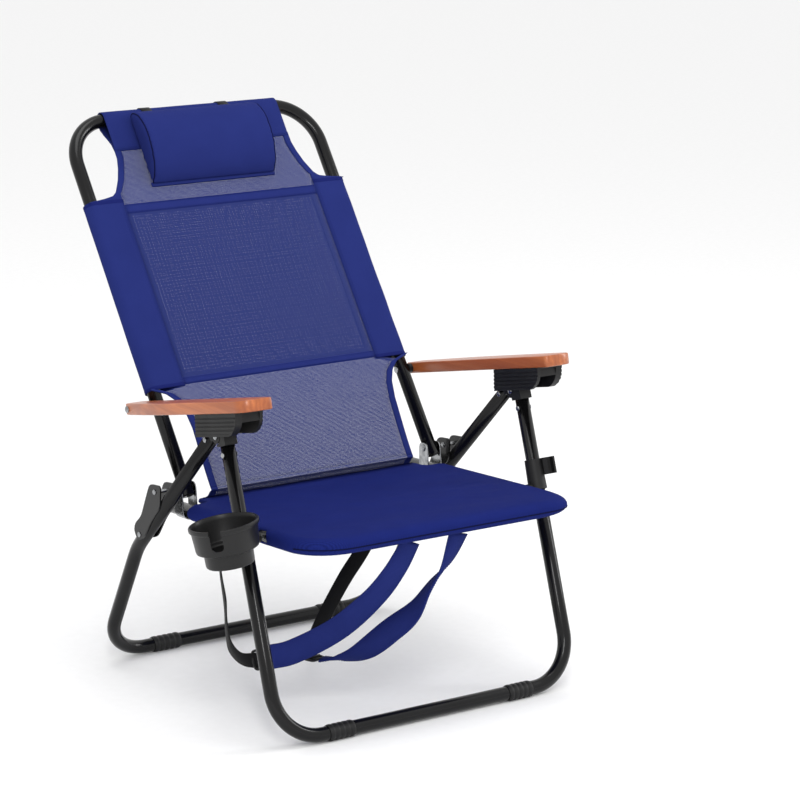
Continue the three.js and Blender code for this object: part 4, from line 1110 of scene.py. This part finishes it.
def side_line(sign):
    """One side of the seat's outline, from the sleeve's rear end to the middle of the front edge."""
    radius = SEAT_CORNERS[sign]
    where, reach, depth = PIVOT_CUT
    line = []
    for y in np.linspace(SEAT_SLEEVE_END, SEAT_FRONT_EDGE + radius, 64):
        cut = depth * ease((reach - abs(y - where)) / 9)
        line.append((SEAT_HALF - cut, y))
    for a in np.linspace(0, math.pi / 2, 18)[1:]:
        line.append((SEAT_HALF - radius * (1 - math.cos(a)), SEAT_FRONT_EDGE + radius * (1 - math.sin(a))))
    line += [(x, SEAT_FRONT_EDGE) for x in np.linspace(SEAT_HALF - radius, 0, 22)[1:]]
    return [(sign * x, y) for x, y in line]


def seat_outline():
    """The seat's outline in the seat frame, (x, along), all the way round, and its rear edge alone."""
    railed = side_line(1) + side_line(-1)[-2::-1]
    tail_x, tail_y = SEAT_TAIL
    side = [(SEAT_HALF - 8, SEAT_SLEEVE_END + 2), (tail_x + 6, SEAT_SLEEVE_END + 3),
            (tail_x, SEAT_SLEEVE_END + 10), (tail_x, tail_y - 6)]
    rear = [(-x, y) for x, y in side]
    rear += [(x, tail_y) for x in np.linspace(4 - tail_x, tail_x - 4, 36)]
    return railed, rear + side[::-1]


def rounded_depth(x, y, half, front, radius):
    """How far a point lies inside a rectangle, open to the rear, with rounded front corners."""
    qx, qy = abs(x) - half + radius, front - y + radius
    outside = math.hypot(max(qx, 0), max(qy, 0))
    return radius - outside - min(max(qx, qy), 0)


def distance_to(points, line):
    """Each point's distance to an open polyline."""
    a, b = np.array(line[:-1]), np.array(line[1:])
    span = b - a
    best = np.full(len(points), 1e9)
    for start, step in zip(a, span):
        t = np.clip(((points - start) @ step) / (step @ step), 0, 1)
        best = np.minimum(best, np.linalg.norm(points - start - t[:, None] * step, axis=1))
    return best


def seat_heights(points, rear):
    """Top and bottom height of the padded seat at each point, in the seat frame."""
    tails = distance_to(points, rear)
    tops, bottoms = [], []
    for (x, y), tail in zip(points, tails):
        rail = rounded_depth(x, y, RAIL_X, 0, SEAT_BEND)
        edge = rounded_depth(x, y, SEAT_HALF, SEAT_FRONT_EDGE, SEAT_CORNERS[1 if x > 0 else -1])
        waves = noise.noise(Vector((x * 0.005, y * 0.022, 1)))
        waves += 0.5 * noise.noise(Vector((x * 0.02, y * 0.05, 4)))
        if rail < 0:
            share = min(1.0, -rail / max(edge - rail, 1e-6))
            top = SLEEVE_R * math.sqrt(1 - share ** 2)
            bottom = -top
        else:
            top = SLEEVE_R + 1.6 * waves * ease(rail / 60) + 1.8 * seat_roll(x, y)
            wrap = SLEEVE_R * math.sqrt(max(0, 1 - (rail / SLEEVE_R) ** 2))
            inward = ease((rail - 0.8 * SLEEVE_R) / 12)
            bottom = -wrap * (1 - inward) + (5 + 0.5 * waves) * inward
        thin = math.sqrt(max(0, 1 - (1 - min(tail / 5, 1)) ** 2))
        middle = 9.0 * ease(rail / 20)
        tops.append(middle + (top - middle) * thin)
        bottoms.append(middle + (bottom - middle) * thin)
    return tops, bottoms


def seat_roll(x, y):
    """The cushion's front roll: a low swell behind the front rail, then a shallow dip."""
    front = max(0, 1 - abs(y - 26) / 40)
    dip = max(0, 1 - abs(y - 78) / 30)
    return (ease(front) - 0.7 * ease(dip)) * ease((215 - abs(x)) / 60)


def add_seat():
    railed, rear = seat_outline()
    outline = [Vector(p) for p in railed + rear]
    shares = [0.0, 0.15, 0.3, 0.45, 0.6, 0.7, 0.78, 0.84, 0.88, 0.905, 0.925, 0.94, 0.952, 0.963, 0.972, 0.98,
              0.987, 0.993, 0.997, 1.0]
    flat = [SEAT_CENTRE + (p - SEAT_CENTRE) * m for m in shares[1:] for p in outline]
    points = np.array([[*SEAT_CENTRE]] + [[*p] for p in flat])
    top, bottom = seat_heights(points, rear + [railed[0]])
    count = len(outline)
    total = len(points)
    inner = total - count
    corners = [SEAT.at(x, y, h) for (x, y), h in zip(points, top)]
    corners += [SEAT.at(x, y, h) for (x, y), h in zip(points[:inner], bottom[:inner])]
    uvs = [(x / 1000, y / 1000) for x, y in points] + [(x / 1000, y / 1000) for x, y in points[:inner]]

    def low(index):
        return index if index >= inner else total + index

    faces = []
    for k in range(count):
        n = (k + 1) % count
        faces.append((0, 1 + k, 1 + n))
        faces.append((low(0), low(1 + n), low(1 + k)))
        for r in range(len(shares) - 2):
            a, b = 1 + r * count + k, 1 + r * count + n
            faces.append((a, a + count, b + count, b))
            faces.append((low(a), low(b), low(b + count), low(a + count)))
    # The seat pad takes the darkened copy of the blue weave: painted shade.
    seat = outward(make("seat_pad", corners, faces, SEAT_BLUE_PAINTED_SHADE, uvs))
    stand_for(seat, "seat", "blue_fabric", "seat_sling")
    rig.padded(seat, fill=0.35)
    add_seat_seams(seat, railed)


def add_seat_seams(seat, railed):
    """A seam low on the front roll and round both corners, stitches over it, and a seam by the rear edge."""
    front = [Vector(p) for p in railed if p[1] < 44]
    path = [SEAT.at(p.x, p.y, -3.0) for p in front]
    line, _ = on_surface(seat, spaced(path, 140), 0.0002)
    stand_for(pipe("seat_front_seam", line, 0.0010, SEAM, 8), "seat", "blue_fabric")
    above = [SEAT.at(p.x, p.y, 2.5) for p in front]
    line, outs = on_surface(seat, spaced(above, 140), 0.0002)
    stand_for(stitches("seat_front_stitches", line, outs, THREAD), "seat", "blue_fabric")
    rear = [SEAT.at(x, SEAT_TAIL[1] - 9, 16) for x in np.linspace(-198, 198, 60)]
    line, _ = on_surface(seat, rear, 0.0003)
    stand_for(pipe("seat_rear_seam", line, 0.0011, SEAM, 8), "seat", "blue_fabric")


# ---------- carrying straps ----------
def strap_path(points, count, turn):
    """A strap's path and its width direction there: as near to X as the path lets it, then turned."""
    path = smooth_path([at(*p) for p in points], count)
    acrosses = []
    for i in range(count):
        way = (path[min(i + 1, count - 1)] - path[max(i - 1, 0)]).normalized()
        level = (Vector((1, 0, 0)) - way * way.x).normalized()
        angle = math.radians(turn[0] + (turn[1] - turn[0]) * i / (count - 1))
        acrosses.append(Matrix.Rotation(angle, 3, way) @ level)
    return path, acrosses


def add_straps():
    for side, pad, webbing in (("right", STRAP_RIGHT, WEBBING_RIGHT), ("left", STRAP_LEFT, WEBBING_LEFT)):
        path, acrosses = strap_path(pad, 60, STRAP_TURN[side])
        strap = ribbon(f"shoulder_strap_{side}_padded", path, acrosses, 0.038, 0.0036, BLUE, crown=0.0009)
        stand_for(strap, "seat", "blue_fabric", f"shoulder_strap_{side}")
        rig.padded(strap, fill=0.3)
        for edge, shift in (("a", 0.0150), ("b", -0.0150)):
            line = [p + a * shift for p, a in zip(path, acrosses)]
            ways = [path[min(i + 1, 59)] - path[max(i - 1, 0)] for i in range(60)]
            outs = [a.cross(way).normalized() for a, way in zip(acrosses, ways)]
            for face, sign in (("front", 1), ("back", -1)):
                row = stitches(f"strap_stitches_{side}_{edge}_{face}",
                               [p + o * 0.0021 * sign for p, o in zip(line, outs)], outs, THREAD)
                stand_for(row, "seat", "blue_fabric")
        path, acrosses = strap_path(webbing, 70, WEBBING_TURN[side])
        tail = ribbon(f"strap_webbing_{side}_woven", path, acrosses, 0.024, 0.0016, BLACK)
        stand_for(tail, "seat", "black_webbing", f"strap_webbing_{side}")
        add_buckle(side, path, acrosses)


def add_buckle(side, path, acrosses):
    """A ladder buckle: a rounded frame with a cross bar, round the webbing's first stretch."""
    way = (path[4] - path[0]).normalized()
    across = acrosses[1]
    face = across.cross(way).normalized()
    centre = path[0] + way * 0.009
    outline = []
    for k in range(32):
        a = math.tau * k / 32
        c, s = math.cos(a), math.sin(a)
        x = 0.0145 * math.copysign(abs(c) ** 0.45, c)
        y = 0.0105 * math.copysign(abs(s) ** 0.45, s)
        outline.append(centre + across * x + way * y)
    rings = []
    for k, point in enumerate(outline):
        out = (point - centre).normalized()
        rings.append([point + (out * math.cos(a) + face * math.sin(a)) * 0.0022
                      for a in np.linspace(0, math.tau, 9)[:-1]])
    points = [p for ring in rings for p in ring]
    faces = [tuple(i % len(points) for i in f) for f in grid_faces(33, 8, wrap=True)]
    loop = outward(make(f"buckle_frame_{side}", points, faces, PLASTIC))
    stand_for(loop, "seat", "black_plastic")
    middle = centre + face * 0.0022
    ends = [middle - across * 0.0135, middle + across * 0.0135]
    bar = pipe(f"buckle_bar_{side}", ends, 0.0018, PLASTIC, 12)
    stand_for(bar, "seat", "black_plastic")


# ---------- studio ----------
FLOOR = 30.0


def add_studio():
    corners = [(-FLOOR, -FLOOR, 0), (FLOOR, -FLOOR, 0), (FLOOR, FLOOR, 0), (-FLOOR, FLOOR, 0)]
    floor = make("floor", corners, [(0, 1, 2, 3)], floor_paint())
    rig.stage(floor)
    world = bpy.data.worlds.new("studio")
    bpy.context.scene.world = world
    world.use_nodes = True
    background = world.node_tree.nodes["Background"]
    background.inputs["Color"].default_value = (1, 1, 1, 1)
    background.inputs["Strength"].default_value = 1.0
    for name, place, size, power in (
        ("key", (-1.7, -2.7, 2.3), (0.35, 1.8), 42),
        ("side", (2.6, -1.2, 1.6), (0.4, 1.8), 22),
        ("top", (0.0, -0.2, 3.4), (1.6, 1.6), 24),
    ):
        light = bpy.data.lights.new(name, "AREA")
        light.shape = "RECTANGLE"
        light.size, light.size_y = size
        light.energy = power
        lamp = bpy.data.objects.new(name, light)
        lamp.location = place
        lamp.rotation_euler = (Vector((0, -0.1, 0.4)) - Vector(place)).to_track_quat("-Z", "Y").to_euler()
        bpy.context.scene.collection.objects.link(lamp)
    bpy.context.scene.view_settings.view_transform = "Standard"


def floor_paint():
    s = Shader("pale_floor", Roughness=0.85, Specular_IOR_Level=0.1)
    tones = [(0.3, (0.90, 0.90, 0.90)), (0.7, (0.92, 0.92, 0.92))]
    s.set("Base Color", s.ramp(s.noise(s.place(), 60, 3), tones))
    return s.material


CAMERA_PLACE = (-2621.2, -3764.6, 1555.0)
CAMERA_TARGET = (0.0, 0.0, 482.4)
CAMERA_ROLL = math.radians(0.27)
CAMERA_LENS = 139.97


def add_camera():
    camera = bpy.data.cameras.new("camera")
    camera.lens = CAMERA_LENS
    camera.sensor_width = 36
    holder = bpy.data.objects.new("camera", camera)
    holder.location = at(*CAMERA_PLACE)
    aim = (at(*CAMERA_TARGET) - holder.location).to_track_quat("-Z", "Y")
    holder.rotation_mode = "QUATERNION"
    holder.rotation_quaternion = aim @ Matrix.Rotation(CAMERA_ROLL, 3, "Z").to_quaternion()
    bpy.context.scene.collection.objects.link(holder)
    bpy.context.scene.camera = holder


def add_back_cloth():
    pieces = []
    panel = add_back_mesh()
    add_edges(pieces)
    add_side_sleeves(pieces)
    add_top_sleeve(pieces)
    add_back_stitches(pieces)
    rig.sheet(panel, flat=(2 * (SEAM_X + 2) / 1000, (HEM_S - CLOTH_FOOT_S + 4) / 1000), held="stretched",
             rests_on=["back_frame_tube_coated"], area=0.208, with_pieces=pieces)


add_camera()
dress_cad_nodes()
add_tubes()
add_feet()
add_cup()
add_back_cloth()
add_pocket()
add_foot_cloth()
add_pillow()
add_pillow_straps()
add_seat()
add_straps()
add_studio()

sizes = {"cad": [list(corner) for corner in CAD_BOX], "visual": [list(corner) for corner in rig.bounds()]}
with open("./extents.json", "w") as out:
    json.dump(sizes, out)
